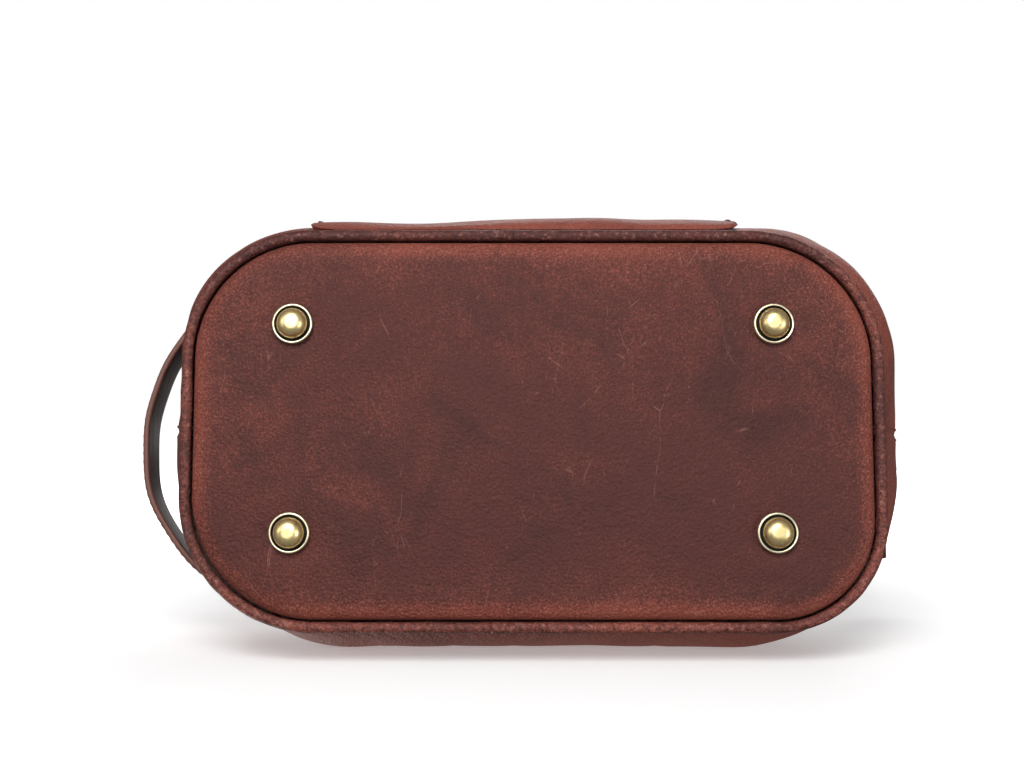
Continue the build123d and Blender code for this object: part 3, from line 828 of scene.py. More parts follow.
def build_feet():
    """Four feet: a lipped cup and a dome, both turned from profiles of radius and height."""
    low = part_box("foot_cups")[0].z / MM
    cup = np.array([
        (0, 5.9), (5.6, 5.9), (6.3, 5.8), (6.5, 5.5), (6.52, 5.0),
        (6.55, low + 0.3), (6.68, low + 0.08), (6.95, low), (7.2, low + 0.06),
        (7.4, low + 0.25), (CUP_RADIUS, low + 0.6),
        (7.45, 6.2), (7.3, 6.9), (7.0, 6.98), (0, 6.98),
    ])
    places = foot_places()
    copies = TURNED_POINTS * len(places)
    points, faces = join_grids(revolve(cup, places), wrap_rows=True)
    shine = np.array([0, 0, 0, 0, 0, 0.3, 1.2, 1.3, 1.2, 1.0, 0.5, 0.3, 0.1, 0, 0])
    pale = np.array([0, 0, 0, 0, 0, 0.4, 1, 1, 1, 0.8, 0.4, 0, 0, 0, 0])
    fields = {"wear": np.tile(shine, copies), "pale": np.tile(pale, copies)}
    cups = make_piece(
        "foot_cup_set", points, faces, [foot_brass_material()], fields, merge=True, crisp=50
    )
    ride_bag(cups, "foot_brass", "foot_cups")
    dome_radius, flat, height = 5.75, 1.5, 4.9
    angle = np.linspace(0, pi / 2, 16)
    round_part = np.stack([
        flat + (dome_radius - flat) * np.sin(angle), height * (1 - np.cos(angle)) ** 1.05,
    ], -1)
    dome = np.concatenate([[(0, 0), (flat * 0.6, 0.0)], round_part, [(5.7, 5.85), (0, 5.88)]])
    shine = 1.05 - 1.0 * ease((dome[:, 1] - 2.2) / 2.4)
    points, faces = join_grids(revolve(dome, places), wrap_rows=True)
    fields = {"wear": np.tile(shine, copies)}
    domes = make_piece(
        "foot_dome_set", points, faces, [foot_brass_material()], fields, merge=True
    )
    ride_bag(domes, "foot_brass", "foot_domes")


# --- body ---------------------------------------------------------------------------------
def foot_corner(turn, height):
    """Correction that lets the body's foot follow each of the base's corners."""
    fade = ease(1 - (height - BODY_FLOOR) / 30)
    x, y = base_outline(turn, 2.3)
    plain = body_point(turn, BODY_FLOOR)
    offset = np.stack([x - plain[..., 0], y - plain[..., 1], 0 * x], -1)
    return offset * fade[..., None]


def leather_surface(turn, height, outset=0.0):
    """The body with its creases: slow sag waves, crease valleys and puckers at both seams."""
    depth = size("wrinkle")
    points = body_point(turn, height, outset) + foot_corner(turn + 0 * height, height + 0 * turn)
    normal = body_normal(turn + 0 * height, np.minimum(height + 0 * turn, RIM - 0.5))
    share = (points[..., 2] - BODY_FLOOR) / (RIM - BODY_FLOOR)
    hold = ease(share / 0.12) * ease((1 - share) / 0.06)
    pucker = np.sin(turn * 107 * 2 * pi + 2 * waves(points, 40, 31))
    foot = np.exp(-(((share - 0.03) / 0.035) ** 2)) * 0.12 * pucker
    long_sag = points * np.array([0.55, 1.0, 1.6])
    relief = 0.9 * waves(long_sag, 75, 5) + 0.35 * waves(points, 30, 6)
    valleys = creases(points * np.array([1.0, 1.0, 0.55]), 55, 7) * ease(1.2 - share) * 0.9
    near_corner = np.exp(-(((np.abs(points[..., 0]) - 128) / 16) ** 2))
    gathers = near_corner * ease((share - 0.62) / 0.25) * np.sin(turn * 73 * 2 * pi) * 0.5
    amount = depth * (relief * 0.8 - valleys * 0.55 + gathers) * hold + foot
    return points + normal * amount[..., None]


def seam_dip(turn, height):
    """Fold where the two halves meet at each end: a narrow dip with a low ridge beside it."""
    away = np.abs(body_point(turn, height)[..., 1])
    return -0.4 * np.exp(-((away / 1.0) ** 2)) + 0.15 * np.exp(-(((away - 3.2) / 1.8) ** 2))


def body_wear(points):
    """Warmer leather where the body is fullest and in broad patches, with painted light low on the
    front and back walls and low on the +X end.
    """
    full = np.exp(-(((points[..., 2] - 52) / 26) ** 2)) * 0.16
    # Painted light: low on the front and back walls and low on the +X end
    front = ease((np.abs(points[..., 1]) - 30) / 30) * ease((60 - points[..., 2]) / 30) * 0.3
    painted_end_light = 0.35 * ease((points[..., 0] - 100) / 30) * ease((75 - points[..., 2]) / 35)
    return full + front + painted_end_light + 0.11 * waves(points, 80, 41)


def build_body():
    """Two leather halves from the piping to the hinge line, each half a turn of the body."""
    tucked = 0.6
    for half, start in (("front", 0.0), ("back", 0.5)):
        turn = start + np.linspace(0, 0.5, 301)[:, None]
        share = np.linspace(0, 1, 110)[None]
        height = BODY_FLOOR - tucked + (HINGE_HEIGHT + 0.3 - BODY_FLOOR) * share
        height = np.maximum(height, BODY_FLOOR)
        grid = leather_surface(turn, height, seam_dip(turn, height))
        grid[:, 0, 2] -= tucked
        leathers = [body_leather_material(), lining_cloth_material()]
        piece = sheet_piece("body_" + half, grid, leathers, {"wear": body_wear(grid)})
        thicken(piece, size("leather"), 1)
        ride_bag(piece, "body_leather", half + "_body_panel", half + "_lining")


def rim_height(turn):
    """The rim drops at both ends to let the zip's tabs out."""
    x, y = rounded_outline(turn, MOUTH[0] / 2, MOUTH[1] / 2, MOUTH[2])
    return RIM - 4.6 * (1 - ease((np.abs(y) - 8.0) / 4.0))


RIM_STITCHES = 2.8                      # how far below the rim they run


def mouth_halves():
    """Front and back with their sign along Y, and each end with its sign along X and name."""
    for half, across in (("front", -1), ("back", 1)):
        for end, side in ((-1, "left"), (1, "right")):
            yield half, across, end, side


def bend_with_mouth(piece):
    """Bakes the placement of a piece of the mouth into its mesh."""
    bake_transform(piece)


def mouth_turns(half, end, count, first=0.0):
    """Shares of a turn of one quarter of the body, in rising order, from first past its end."""
    quarters = {("front", -1): 0.0, ("front", 1): 0.25, ("back", 1): 0.5, ("back", -1): 0.75}
    turn = np.linspace(first, 0.25, count)
    rising = (half == "front") == (end == -1)
    return quarters[half, end] + (turn if rising else 0.25 - turn[::-1])


def build_mouth():
    """Four quarters of the domed top, from the hinge line to a turned rim beside the zip."""
    leathers = [body_leather_material(), lining_cloth_material()]
    turned_lip = ((0.5, 0.25), (1.1, 0.1), (1.5, -0.5))     # inward and upward steps
    for half, _, end, side in mouth_halves():
        turn = mouth_turns(half, end, 190)[:, None]
        share = np.linspace(0, 1, 60)[None] ** 0.8
        height = HINGE_HEIGHT - 0.2 + (rim_height(turn) - HINGE_HEIGHT + 0.2) * share
        grid = leather_surface(turn, height, seam_dip(turn, height))
        lip = grid[:, -1:]
        inward = np.concatenate([-lip[..., :2] * [0.0, 1.0], 0 * lip[..., :1]], -1)
        inward = inward / np.maximum(np.abs(lip[..., 1:2]), 4)
        turned = [lip + inward * step + np.array([0, 0, rise]) for step, rise in turned_lip]
        grid = np.concatenate([grid, *turned], 1)
        piece = sheet_piece(f"top_{half}_{side}", grid, leathers, {"wear": body_wear(grid)})
        thicken(piece, size("leather") * 0.8, 1)
        if end < 0:
            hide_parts(half + "_top_panel", half + "_top_lining")
        bend_with_mouth(piece)
        turn = mouth_turns(half, end, 160, 0.05)[:, None]
        height = rim_height(turn) - RIM_STITCHES
        row = leather_surface(turn, height)[:, 0], body_normal(turn, height)[:, 0]
        bend_with_mouth(sew(f"rim_stitching_{half}_{side}", [row]))


def build_end_seams():
    """Two rows of topstitching beside the seam down each end of the body."""
    rows = []
    for middle in (0.0, 0.5):
        for away in (-2.0, 2.0):
            height = np.linspace(BODY_FLOOR + 4, RIM - 7, 220)
            turn = np.full_like(height, middle)
            path = leather_surface(turn[:, None], height[:, None])[:, 0]
            path = path + np.array([0, away, 0])
            rows.append((path, body_normal(turn, np.minimum(height, RIM - 8))))
    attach(sew("end_seam_stitching", rows), "bag")


# --- zip along the mouth ------------------------------------------------------------------
ZIP_FACE = 147.8        # height of the middle of its teeth
ZIP_REACH = 113.4       # half the tape's length
TAPE_THICKNESS = 0.7
TOOTH_PITCH = 3.0
TEETH_REACH = 111.0     # half the length that the teeth take


def tooth_blocks(xs, across):
    """Zip teeth: a tapered hexagonal block at each x, from a rounded nose to a wider tail."""
    nose, tail = -0.35, 4.0
    outline = np.array([
        (-0.55, nose), (0.55, nose), (0.8, nose + 0.8), (0.62, tail), (-0.62, tail),
        (-0.8, nose + 0.8),
    ])
    outline = outline * np.array([1, across])
    heights = 1.15 * np.array([-1, -0.78, 0.78, 1])
    shrink = np.array([0.72, 1.0, 1.0, 0.72])
    middle = np.array([0, across * (nose + tail) / 2])
    rings = middle + (outline[None] - middle) * shrink[:, None, None]
    block = np.concatenate([rings, np.broadcast_to(heights[:, None, None], (4, 6, 1))], -1)
    cap_low = np.broadcast_to(block[0].mean(0), (1, 6, 3))
    cap_high = np.broadcast_to(block[-1].mean(0), (1, 6, 3))
    block = np.concatenate([cap_low, block, cap_high])
    places = np.stack([xs, 0 * xs, 0 * xs + ZIP_FACE], -1)
    return list(block[None] + places[:, None, None])


def build_top_zip():
    """Tape and teeth beside the mouth's middle line, in quarters.

    The tape is a strip whose height dips by a shallow sine between rim and teeth.
    """
    for half, across, end, side in mouth_halves():
        x = end * np.linspace(0, ZIP_REACH, 150)[:, None]
        s = np.linspace(0, 1, 18)[None]
        y = across * (3.0 + s * 11.6) + 0 * x
        ripple = 0.12 * waves(np.stack([x + 0 * s, y, 0 * y], -1), 18, 51)
        z = ZIP_FACE - 0.35 - 0.5 * np.sin(s * pi) + ripple
        grid = np.stack([x + 0 * s, y, z], -1)
        tape = sheet_piece(
            f"zip_tape_{half}_{side}", grid, [zip_tape_material()], flip=end * across > 0
        )
        thicken(tape, TAPE_THICKNESS)
        first = TOOTH_PITCH * (0.25 if across < 0 else 0.75)
        xs = end * (np.arange(int(TEETH_REACH / TOOTH_PITCH)) * TOOTH_PITCH + first)
        points, faces = join_grids(tooth_blocks(xs, across), wrap_columns=True)
        teeth = make_piece(
            f"zip_teeth_{half}_{side}", points, faces, [zip_brass_material()],
            merge=True, crisp=40,
        )
        if end < 0:
            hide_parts("zip_tape_" + half)
            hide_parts("zip_teeth_" + half)
        for piece, name in ((tape, "zip_tape"), (teeth, "zip_brass")):
            bend_with_mouth(piece)


def build_end_tapes():
    """Tape folded across each end of the mouth, under the tab."""
    for end, side in ((-1, "left"), (1, "right")):
        x = end * np.linspace(ZIP_REACH - 0.6, ZIP_REACH + 4.0, 8)[:, None]
        y = np.linspace(-13, 13, 30)[None]
        z = ZIP_FACE - 1.9 - 0.4 * ease((np.abs(x) - ZIP_REACH) / 4) + 0 * y
        grid = np.stack([x + 0 * y, y + 0 * x, z], -1)
        name = "zip_end_tape_" + side
        tape = sheet_piece(name + "_fold", grid, [zip_tape_material()], flip=end < 0)
        thicken(tape, TAPE_THICKNESS)
        ride_bag(tape, "zip_tape", name, *(["zip_end_teeth"] if end < 0 else []))


def tab_route(end):
    """Line of a zip tab: out through the rim, then aside by a smooth step to its cut end."""
    right, left = (165.0, 42.0, 121.0, 154.0), (151.5, -5.0, 124.0, 158.0)
    tip, aside, first, last = right if end > 0 else left
    x = np.linspace(111.0, tip, 100)
    return np.stack([end * x, aside * ease((x - first) / (last - first))], -1)


def build_tabs():
    """Doubled leather tabs at the zip's ends: a rounded flat profile carried along each route.

    The height droops as the square of the way along and curls a little across at the cut end.
    """
    for end, side in ((-1, "left"), (1, "right")):
        route = tab_route(end)
        way = np.linspace(0, 1, len(route))
        height = ZIP_FACE - 0.35 - 1.1 * way**2 + 0.2 * np.sin(way * 9)
        centres = np.append(route, height[:, None], 1)
        ahead = along_path(centres)
        up = unit(np.array([0, 0, 1.0]) - ahead * ahead[:, 2:])
        across = np.cross(ahead, up)
        girth = np.where(way > 0.985, 0.97, 1.0)
        rings = carry(flat_profile(15.4, 2.3, 0.7), centres, across, up, girth)
        middle, aside = (
            np.concatenate([path[:1], path, path[-1:]])[:, None] for path in (centres, across)
        )
        curl = np.concatenate([[0], way**3, [1]])[:, None] * 0.7
        beside = ((rings - middle) * aside).sum(-1)
        rings[..., 2] += curl * (beside / 7) ** 2 - 0.3 * curl
        name = "zip_tab_" + side
        piece = tube_piece(name + "_leather", rings, [dark_leather_material()], crisp=60)
        ride_bag(piece, "dark_leather", name)
        lift = 1.12
        sewn = slice(14, -3)
        face = centres + up * lift
        rows = [(face[sewn] + across[sewn] * away, up[sewn]) for away in (-6.0, 6.0)]
        last = face[-4] + np.linspace(-5.6, 5.6, 12)[:, None] * across[-4]
        rows.append((last, np.repeat(up[-4:-3], 12, 0)))
        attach(sew("zip_tab_stitching_" + side, rows, 2.8), "bag")


# --- pulls --------------------------------------------------------------------------------
def build_pull_tabs():
    """Leather pull tabs: outlines whose half width swells from the neck, filled to a pillow.

    Across the tab the thickness falls off as a superellipse of the distance from its middle.
    """
    lean = atan2(4.8, 12.0)
    points_round, power = 20, 0.45
    ahead = np.array([1.0, 0, 0])
    planes = {
        "top": (np.array([105.0, 0, 151.7]), np.array([0, 0, 1.0])),
        "pocket": (np.array([66.0, -83.55, 86.65]), np.array([0, -cos(lean), sin(lean)])),
    }
    for name, (origin, up) in planes.items():
        across = np.cross(up, ahead)
        way = np.linspace(0, 1, 60)[:, None]
        along = 6.2 + way * 31.2
        tip = np.sqrt(np.clip(1 - np.clip((way - 0.90) / 0.1, 0, 1) ** 2, 0, 1))
        half = (2.05 + 2.4 * ease((along - 9.6) / 3.4)) * (0.45 + 0.55 * tip)
        half = half * np.where(way >= 1, 0.3, 1)
        around = round_profile(points_round, 1.0)
        side, rise = (np.sign(around) * np.abs(around) ** power).T[:, None]
        thick = 1.15 * (0.8 + 0.2 * tip)
        rings = (
            origin + along[..., None] * ahead + (half * side)[..., None] * across
            + (thick * rise)[..., None] * up
        )
        first, last = (
            np.repeat(rings[spot].mean(0)[None, None], points_round, 1) for spot in (0, -1)
        )
        rings = np.concatenate([first, rings, last])
        wear = {"wear": np.full(rings.shape[:2], 0.12)}
        piece = tube_piece(name + "_pull_leather", rings, [body_leather_material()], wear)
        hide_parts(name + "_pull_tab")
        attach(piece, name + "_pull")
        spots = np.linspace(12.5, 35.0, 40)[:, None]
        rows = [
            (origin + spots * ahead + away * across + up * 1.02, np.repeat(up[None], 40, 0))
            for away in (-3.0, 3.0)
        ]
        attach(sew(name + "_pull_stitching", rows, 2.2), name + "_pull")


# --- outside pocket -----------------------------------------------------------------------
POCKET_LEFT, POCKET_RIGHT = (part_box("pocket_panel")[k].x / MM - BASE_MIDDLE[0] for k in (0, 1))
POCKET_FLOOR, POCKET_TOP = (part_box("pocket_panel")[k].z / MM for k in (0, 1))
WINDOW_LOW, WINDOW_HIGH = 80.0, 92.0


def front_wall(x, height):
    """Depth of the body's front at a place, taken from the straight part of its outline."""
    half_length, half_depth, corner = body_section(height)
    bend = np.clip(np.abs(x) - (half_length - corner), 0, corner)
    return -(half_depth - corner + np.sqrt(np.maximum(corner**2 - bend**2, 0)))


def pocket_surface(x, height):
    """Outside of the pocket: the wall plus a swell that rises in a curve from its sewn edge."""
    beside = np.minimum(x - POCKET_LEFT, POCKET_RIGHT - x)
    above = np.minimum(height - POCKET_FLOOR, POCKET_TOP - height)
    edge = np.minimum(beside, above)
    slack = ease((-x - 10) / 50) * ease((76 - height) / 16)
    full = 3.3 + 5.7 * ease((height - 46) / 30) * (1 - 0.35 * slack) - 1.2 * slack
    near = np.clip(np.minimum(beside / np.where(height > 60, 4.6, 3.0), above / 5.0), 0, 1)
    swell = 1.7 + (full - 1.7) * (1 - (1 - near) ** 2.4) ** 0.5
    spots = np.stack([x, 0 * x, height * 0.6], -1)
    window_free = 1 - np.exp(-(((height - 86) / 13) ** 2))
    sag = (0.55 * waves(spots, 62, 61) + 0.22 * waves(spots, 24, 62)) * window_free * near
    pucker = 0.12 * np.sin(x / 3.4 * 2 * pi) * np.exp(-((edge - 2.6) ** 2))
    return front_wall(x, height) - swell - sag * size("wrinkle") + pucker


def build_pocket():
    """Pocket panel with rounded corners and a window for its zip, stitched round both."""
    corner, margin = 10.0, 5.0
    low_x, high_x = POCKET_LEFT + margin, POCKET_RIGHT - margin
    x = np.unique(np.concatenate([
        np.linspace(POCKET_LEFT, low_x, 9), np.linspace(low_x, high_x, 180),
        np.linspace(high_x, POCKET_RIGHT, 9),
    ]))
    z = np.unique(np.concatenate([
        np.linspace(POCKET_FLOOR, WINDOW_LOW, 70), np.linspace(WINDOW_LOW, WINDOW_HIGH, 14),
        np.linspace(WINDOW_HIGH, POCKET_TOP, 14),
    ]))
    x, z = (table.copy() for table in np.meshgrid(x, z, indexing="ij"))
    middle_x, middle_z = (POCKET_LEFT + POCKET_RIGHT) / 2, (POCKET_FLOOR + POCKET_TOP) / 2
    reach_x, reach_z = (POCKET_RIGHT - POCKET_LEFT) / 2, (POCKET_TOP - POCKET_FLOOR) / 2
    beyond = np.clip((np.abs(z - middle_z) - (reach_z - corner)) / corner, 0, 1)
    near_side = np.clip((np.abs(x - middle_x) - reach_x + 22) / 22, 0, 1) ** 1.5
    draw_in = corner * (1 - np.sqrt(1 - beyond**2)) * near_side
    beside_window = (z > WINDOW_LOW - 6) & (z < WINDOW_HIGH + 1)
    x_round = x - np.sign(x - middle_x) * draw_in * ~beside_window
    y = pocket_surface(x, z)
    y = y - front_wall(x, z) + front_wall(x_round, z)
    grid = np.stack([x_round, y, z], -1)
    faces = grid_faces(*grid.shape[:2])
    centre_x, centre_z = (table.ravel()[faces].mean(1) for table in (x, z))
    hole = (centre_x > low_x) & (centre_x < high_x)
    hole &= (centre_z > WINDOW_LOW) & (centre_z < WINDOW_HIGH)
    used, again = np.unique(faces[~hole], return_inverse=True)
    flat = grid.reshape(-1, 3)[used]
    wear = 0.12 + 0.12 * waves(flat, 60, 63) + 0.2 * np.exp(-(((flat[:, 2] - 30) / 16) ** 2))
    leathers = [body_leather_material(), lining_cloth_material()]
    piece = make_piece("pocket_leather", flat, again.reshape(-1, 4), leathers, {"wear": wear})
    thicken(piece, 1.6, 1)
    ride_bag(piece, "body_leather", "pocket_panel")
    turn = np.linspace(0, 1, 500)
    rows = []
    panel = (POCKET_LEFT, POCKET_RIGHT, POCKET_FLOOR, POCKET_TOP, corner)
    window = (low_x, high_x, WINDOW_LOW, WINDOW_HIGH, 0.6)
    for inset, (left, right, low, high, rounding) in ((3.0, panel), (-1.9, window)):
        half_x, half_z = (right - left) / 2 - inset, (high - low) / 2 - inset
        across, upward = rounded_outline(turn, half_x, half_z, max(rounding - inset, 0.8))
        x, z = np.roll(across + (left + right) / 2, -125), np.roll(upward + (low + high) / 2, -125)
        path = np.stack([x, pocket_surface(x, z) - 0.1, z], -1)
        slope = pocket_surface(x, z + 0.5) - pocket_surface(x, z - 0.5)
        facing = unit(np.stack([0 * x, -np.ones_like(x), slope], -1))
        sewn = z > POCKET_FLOOR + 9
        rows.append((path[sewn], facing[sewn]))
    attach(sew("pocket_stitching", rows), "bag")


# --- handle -------------------------------------------------------------------------------
HANDLE_MIDDLE = 70.0            # height of the strap's middle line
HANDLE_LEAN = radians(-5)
HANDLE_APEX = (-156.5, 4.3)     # the point of its loop that stands out farthest
HANDLE_BOWS = (78.0, 62.4)      # radius of the loop in front of that point and behind it


def handle_path():
    """Line of the strap in plan: an arc that runs out to the wall and lies flat along it."""
    angles = np.radians(np.linspace(-38, 58, 201))
    radius = np.where(angles < 0, *HANDLE_BOWS)
    arc = np.stack([radius * (1 - np.cos(angles)), radius * np.sin(angles)], -1) + HANDLE_APEX
    turns = np.linspace(0.03, 0.14, 300)
    near, far = (body_point(along, HANDLE_MIDDLE, 1.6)[:, :2] for along in (turns, 1 - turns))
    near = near[(near[:, 1] < -55) & (near[:, 1] > -66)]
    far = far[(far[:, 1] > 65.5) & (far[:, 1] < 73)]
    rough = np.concatenate([near[::-1], arc, far])
    steps = np.concatenate([[0], np.cumsum(np.linalg.norm(np.diff(rough, axis=0), axis=1))])
    even = np.linspace(0, steps[-1], 321)
    line = resample(even, steps, rough)
    window = np.exp(-((np.arange(-14, 15) / 6.0) ** 2))
    window /= window.sum()
    padded = np.concatenate([2 * line[:1] - line[14:0:-1], line, 2 * line[-1:] - line[-2:-16:-1]])
    return np.stack([np.convolve(column, window, "valid") for column in padded.T], -1)


def build_handle():
    """Strap in two halves that meet at its middle, each running from the wall to the free loop."""
    line = handle_path()
    centres = np.concatenate([line, np.full((len(line), 1), HANDLE_MIDDLE)], 1)
    ahead = along_path(centres)
    upward = np.array([sin(HANDLE_LEAN), 0, cos(HANDLE_LEAN)])
    width = unit(upward - ahead * (ahead @ upward)[:, None])
    outward = np.cross(width, ahead)
    outward *= np.sign((outward * np.array([-1, 0, 0])).sum(-1, keepdims=True))
    profile = flat_profile(27.2, 2.4, 0.9, 6)
    count = len(profile)
    centres = centres + outward * 0.25 * waves(centres, 26, 71)[:, None]
    rings = carry(profile, centres, width, outward)
    middle = (profile + np.roll(profile, -1, 0)) / 2
    part = np.where(np.abs(middle[:, 0]) > 12.95, 1, np.where(middle[:, 1] > 0, 0, 2))
    leathers = [body_leather_material(), burnished_edge_material(), dark_leather_material()]
    half_index, sewn_from, face = len(line) // 2, 14, centres + outward * 1.15
    for name, first, last, sign in (
        ("front", 0, half_index + 1, -1), ("back", half_index, len(line), 1),
    ):
        strap = rings[1 + first:1 + last]
        in_front = name == "front"
        closed = np.broadcast_to(centres[first if in_front else last - 1], (1, count, 3))
        strap = np.concatenate([closed, strap] if in_front else [strap, closed])
        parts = np.broadcast_to(part, (len(strap) - 1, count))
        wear = np.broadcast_to(0.1 + 0.25 * (np.abs(profile[:, 0]) > 12), strap.shape[:2])
        piece = tube_piece("handle_strap_" + name, strap, leathers, {"wear": wear}, parts=parts)
        if in_front:
            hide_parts("handle_strap", "handle_lining", "handle_end_front")
        else:
            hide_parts("handle_end_back")
        reach = slice(sewn_from, last) if in_front else slice(first, last - sewn_from)
        rows = [(face[reach] + width[reach] * away, outward[reach]) for away in (-10.8, 10.8)]
        spot = sewn_from - 1 if in_front else last - sewn_from
        across = np.linspace(-10.8, 10.8, 20)[:, None] * width[spot] + face[spot]
        rows.append((across, np.repeat(outward[spot][None], 20, 0)))
        start, stop = (
            tuple((np.array([-150, sign * y, HANDLE_MIDDLE]) + BASE_MIDDLE) * MM) for y in (44, 8)
        )
        for bent in (piece, sew("handle_stitching_" + name, rows)):
            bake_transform(bent)


# --- inside -------------------------------------------------------------------------------
def build_inside():
    """Cloth on the floor and the slip pocket: sheets that follow the bag with slow waves."""
    turn = np.linspace(0, 1, 240, endpoint=False)[:, None]
    scale = np.linspace(0, 1, 40)[None]
    x, y = base_outline(turn, -3.6)
    height = 16.9 + 0.25 * (1 - scale**2)
    grid = np.stack([x * scale, y * scale, height + 0 * x], -1)
    grid[..., 2] += 0.12 * waves(grid, 45, 81) * (1 - scale**4)
    faces = grid_faces(*grid.shape[:2], wrap_rows=True)
    floor = make_piece("floor_lining_cloth", grid, faces, [lining_cloth_material()], merge=True)
    if floor.data.polygons[0].normal.z < 0:
        floor.data.flip_normals()
    thicken(floor, 0.8)
    ride_bag(floor, "lining_cloth", "base_lining")
    low, high = (np.array(corner) / MM - BASE_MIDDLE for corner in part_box("inner_pocket"))
    x, z = np.meshgrid(
        np.linspace(low[0] + 1, high[0] - 1, 120), np.linspace(low[2] + 1, high[2] - 1, 50),
        indexing="ij",
    )
    edge = np.minimum(np.minimum(x - low[0], high[0] - x), z - low[2])
    swell = 3.4 + 4.0 * ease(edge / 9) * (0.55 + 0.45 * (z - low[2]) / (high[2] - low[2]))
    sag = 0.5 * waves(np.stack([x, 0 * x, z], -1), 30, 82) * ease(edge / 12)
    grid = np.stack([x, body_section(z)[1] - swell - sag, z], -1)
    slip = sheet_piece("slip_pocket_cloth", grid, [lining_cloth_material()], flip=True)
    thicken(slip, 1.0)
    ride_bag(slip, "lining_cloth", "inner_pocket")


def finish_frame_parts():
    """Gives every solid of the frame that still shows the finish of its slot."""
    finishes = {
        "foot_brass": foot_brass_material, "zip_brass": zip_brass_material,
        "zip_tape": zip_tape_material, "lining_cloth": lining_cloth_material,
        "body_leather": body_leather_material, "base_leather": panel_leather_material,
        "piping_leather": piping_leather_material, "dark_leather": dark_leather_material,
    }
    stock = {
        "board": plain_stock("grey_board", (0.2, 0.17, 0.14), (0.3, 0.27, 0.22), 300, 0.8),
        "foam": plain_stock("foam", (0.5, 0.5, 0.46), (0.62, 0.61, 0.55), 900, 0.85),
        "cotton_cord": plain_stock("cotton_cord", (0.6, 0.56, 0.46), (0.75, 0.71, 0.6), 1500, 0.8),
        "screw_steel": plain_stock("steel", (0.5, 0.5, 0.5), (0.62, 0.62, 0.6), 800, 0.3),
    }
    for row in frame["record"]["subparts"]:
        slot = row["material_slot"]
        material = stock.get(slot) or finishes[slot]()
        mesh = frame["nodes"][row["node"]].data
        mesh.materials.clear()
        mesh.materials.append(material)


# --- stage --------------------------------------------------------------------------------
VIEW_TIP = 6.0


def build_camera():
    """Camera below the bag, looking up at the base with the front towards the top."""
    tip = radians(VIEW_TIP)
    place = BASE_MIDDLE + np.array([-7.8, 40.5, -515.1])
    right = Vector((1, 0, 0))
    up = Vector((0, -cos(tip), -sin(tip)))
    back = right.cross(up)
    data = bpy.data.cameras.new("camera")
    data.lens = 50
    data.sensor_width = 36
    data.clip_start = 0.01
    camera = bpy.data.objects.new("camera", data)
    camera.matrix_world = Matrix((
        (right.x, up.x, back.x, place[0] * MM), (right.y, up.y, back.y, place[1] * MM),
        (right.z, up.z, back.z, place[2] * MM), (0, 0, 0, 1),
    ))
    bpy.context.scene.collection.objects.link(camera)
    bpy.context.scene.camera = camera


def one_sided_white(name, middle):
    """White paper that shows from its front only, and glows a little more away from the bag."""
    shader = Shader(name)
    distance = {0: shader.place, 1: middle}
    away = shader.add("ShaderNodeVectorMath", {"operation": "DISTANCE"}, distance)
    glow = Number(shader, away.outputs["Value"]).between(0.16, 0.7) * 0.68 + 0.28
    paper = shader.surface
    paper.inputs["Base Color"].default_value = (0.86, 0.86, 0.86, 1)
    paper.inputs["Roughness"].default_value = 0.9
    paper.inputs["Specular IOR Level"].default_value = 0
    paper.inputs["Emission Strength"].default_value = 1
    shader.tree.links.new(shader.mix(glow, (0, 0, 0), (1, 1, 1)), paper.inputs["Emission Color"])
    clear = shader.add("ShaderNodeBsdfTransparent")
    side = shader.add("ShaderNodeNewGeometry")
    mix = shader.add("ShaderNodeMixShader", None, {
        0: side.outputs["Backfacing"], 1: paper.outputs[0], 2: clear.outputs[0],
    })
    output = next(node for node in shader.tree.nodes if node.type == "OUTPUT_MATERIAL")
    shader.tree.links.new(mix.outputs[0], output.inputs["Surface"])
    return shader.material


def stage_plane(name, corners, middle):
    """Sheet of paper that lights nothing and throws no shadow."""
    mesh = bpy.data.meshes.new(name)
    mesh.from_pydata([tuple(corner) for corner in corners], [], [(0, 1, 2, 3)])
    plane = bpy.data.objects.new(name, mesh)
    mesh.materials.append(one_sided_white(name, middle))
    bpy.context.scene.collection.objects.link(plane)
    for ray in ("diffuse", "glossy", "transmission", "shadow", "volume_scatter"):
        setattr(plane, "visible_" + ray, False)


def area_light(name, place, target, width, watts):
    """Square lamp of a width in metres that faces a target."""
    data = bpy.data.lights.new(name, "AREA")
    data.size = width
    data.energy = watts
    light = bpy.data.objects.new(name, data)
    place, target = Vector(place), Vector(target)
    turn = (place - target).to_track_quat("Z", "Y")
    light.matrix_world = Matrix.Translation(place) @ turn.to_matrix().to_4x4()
    bpy.context.scene.collection.objects.link(light)


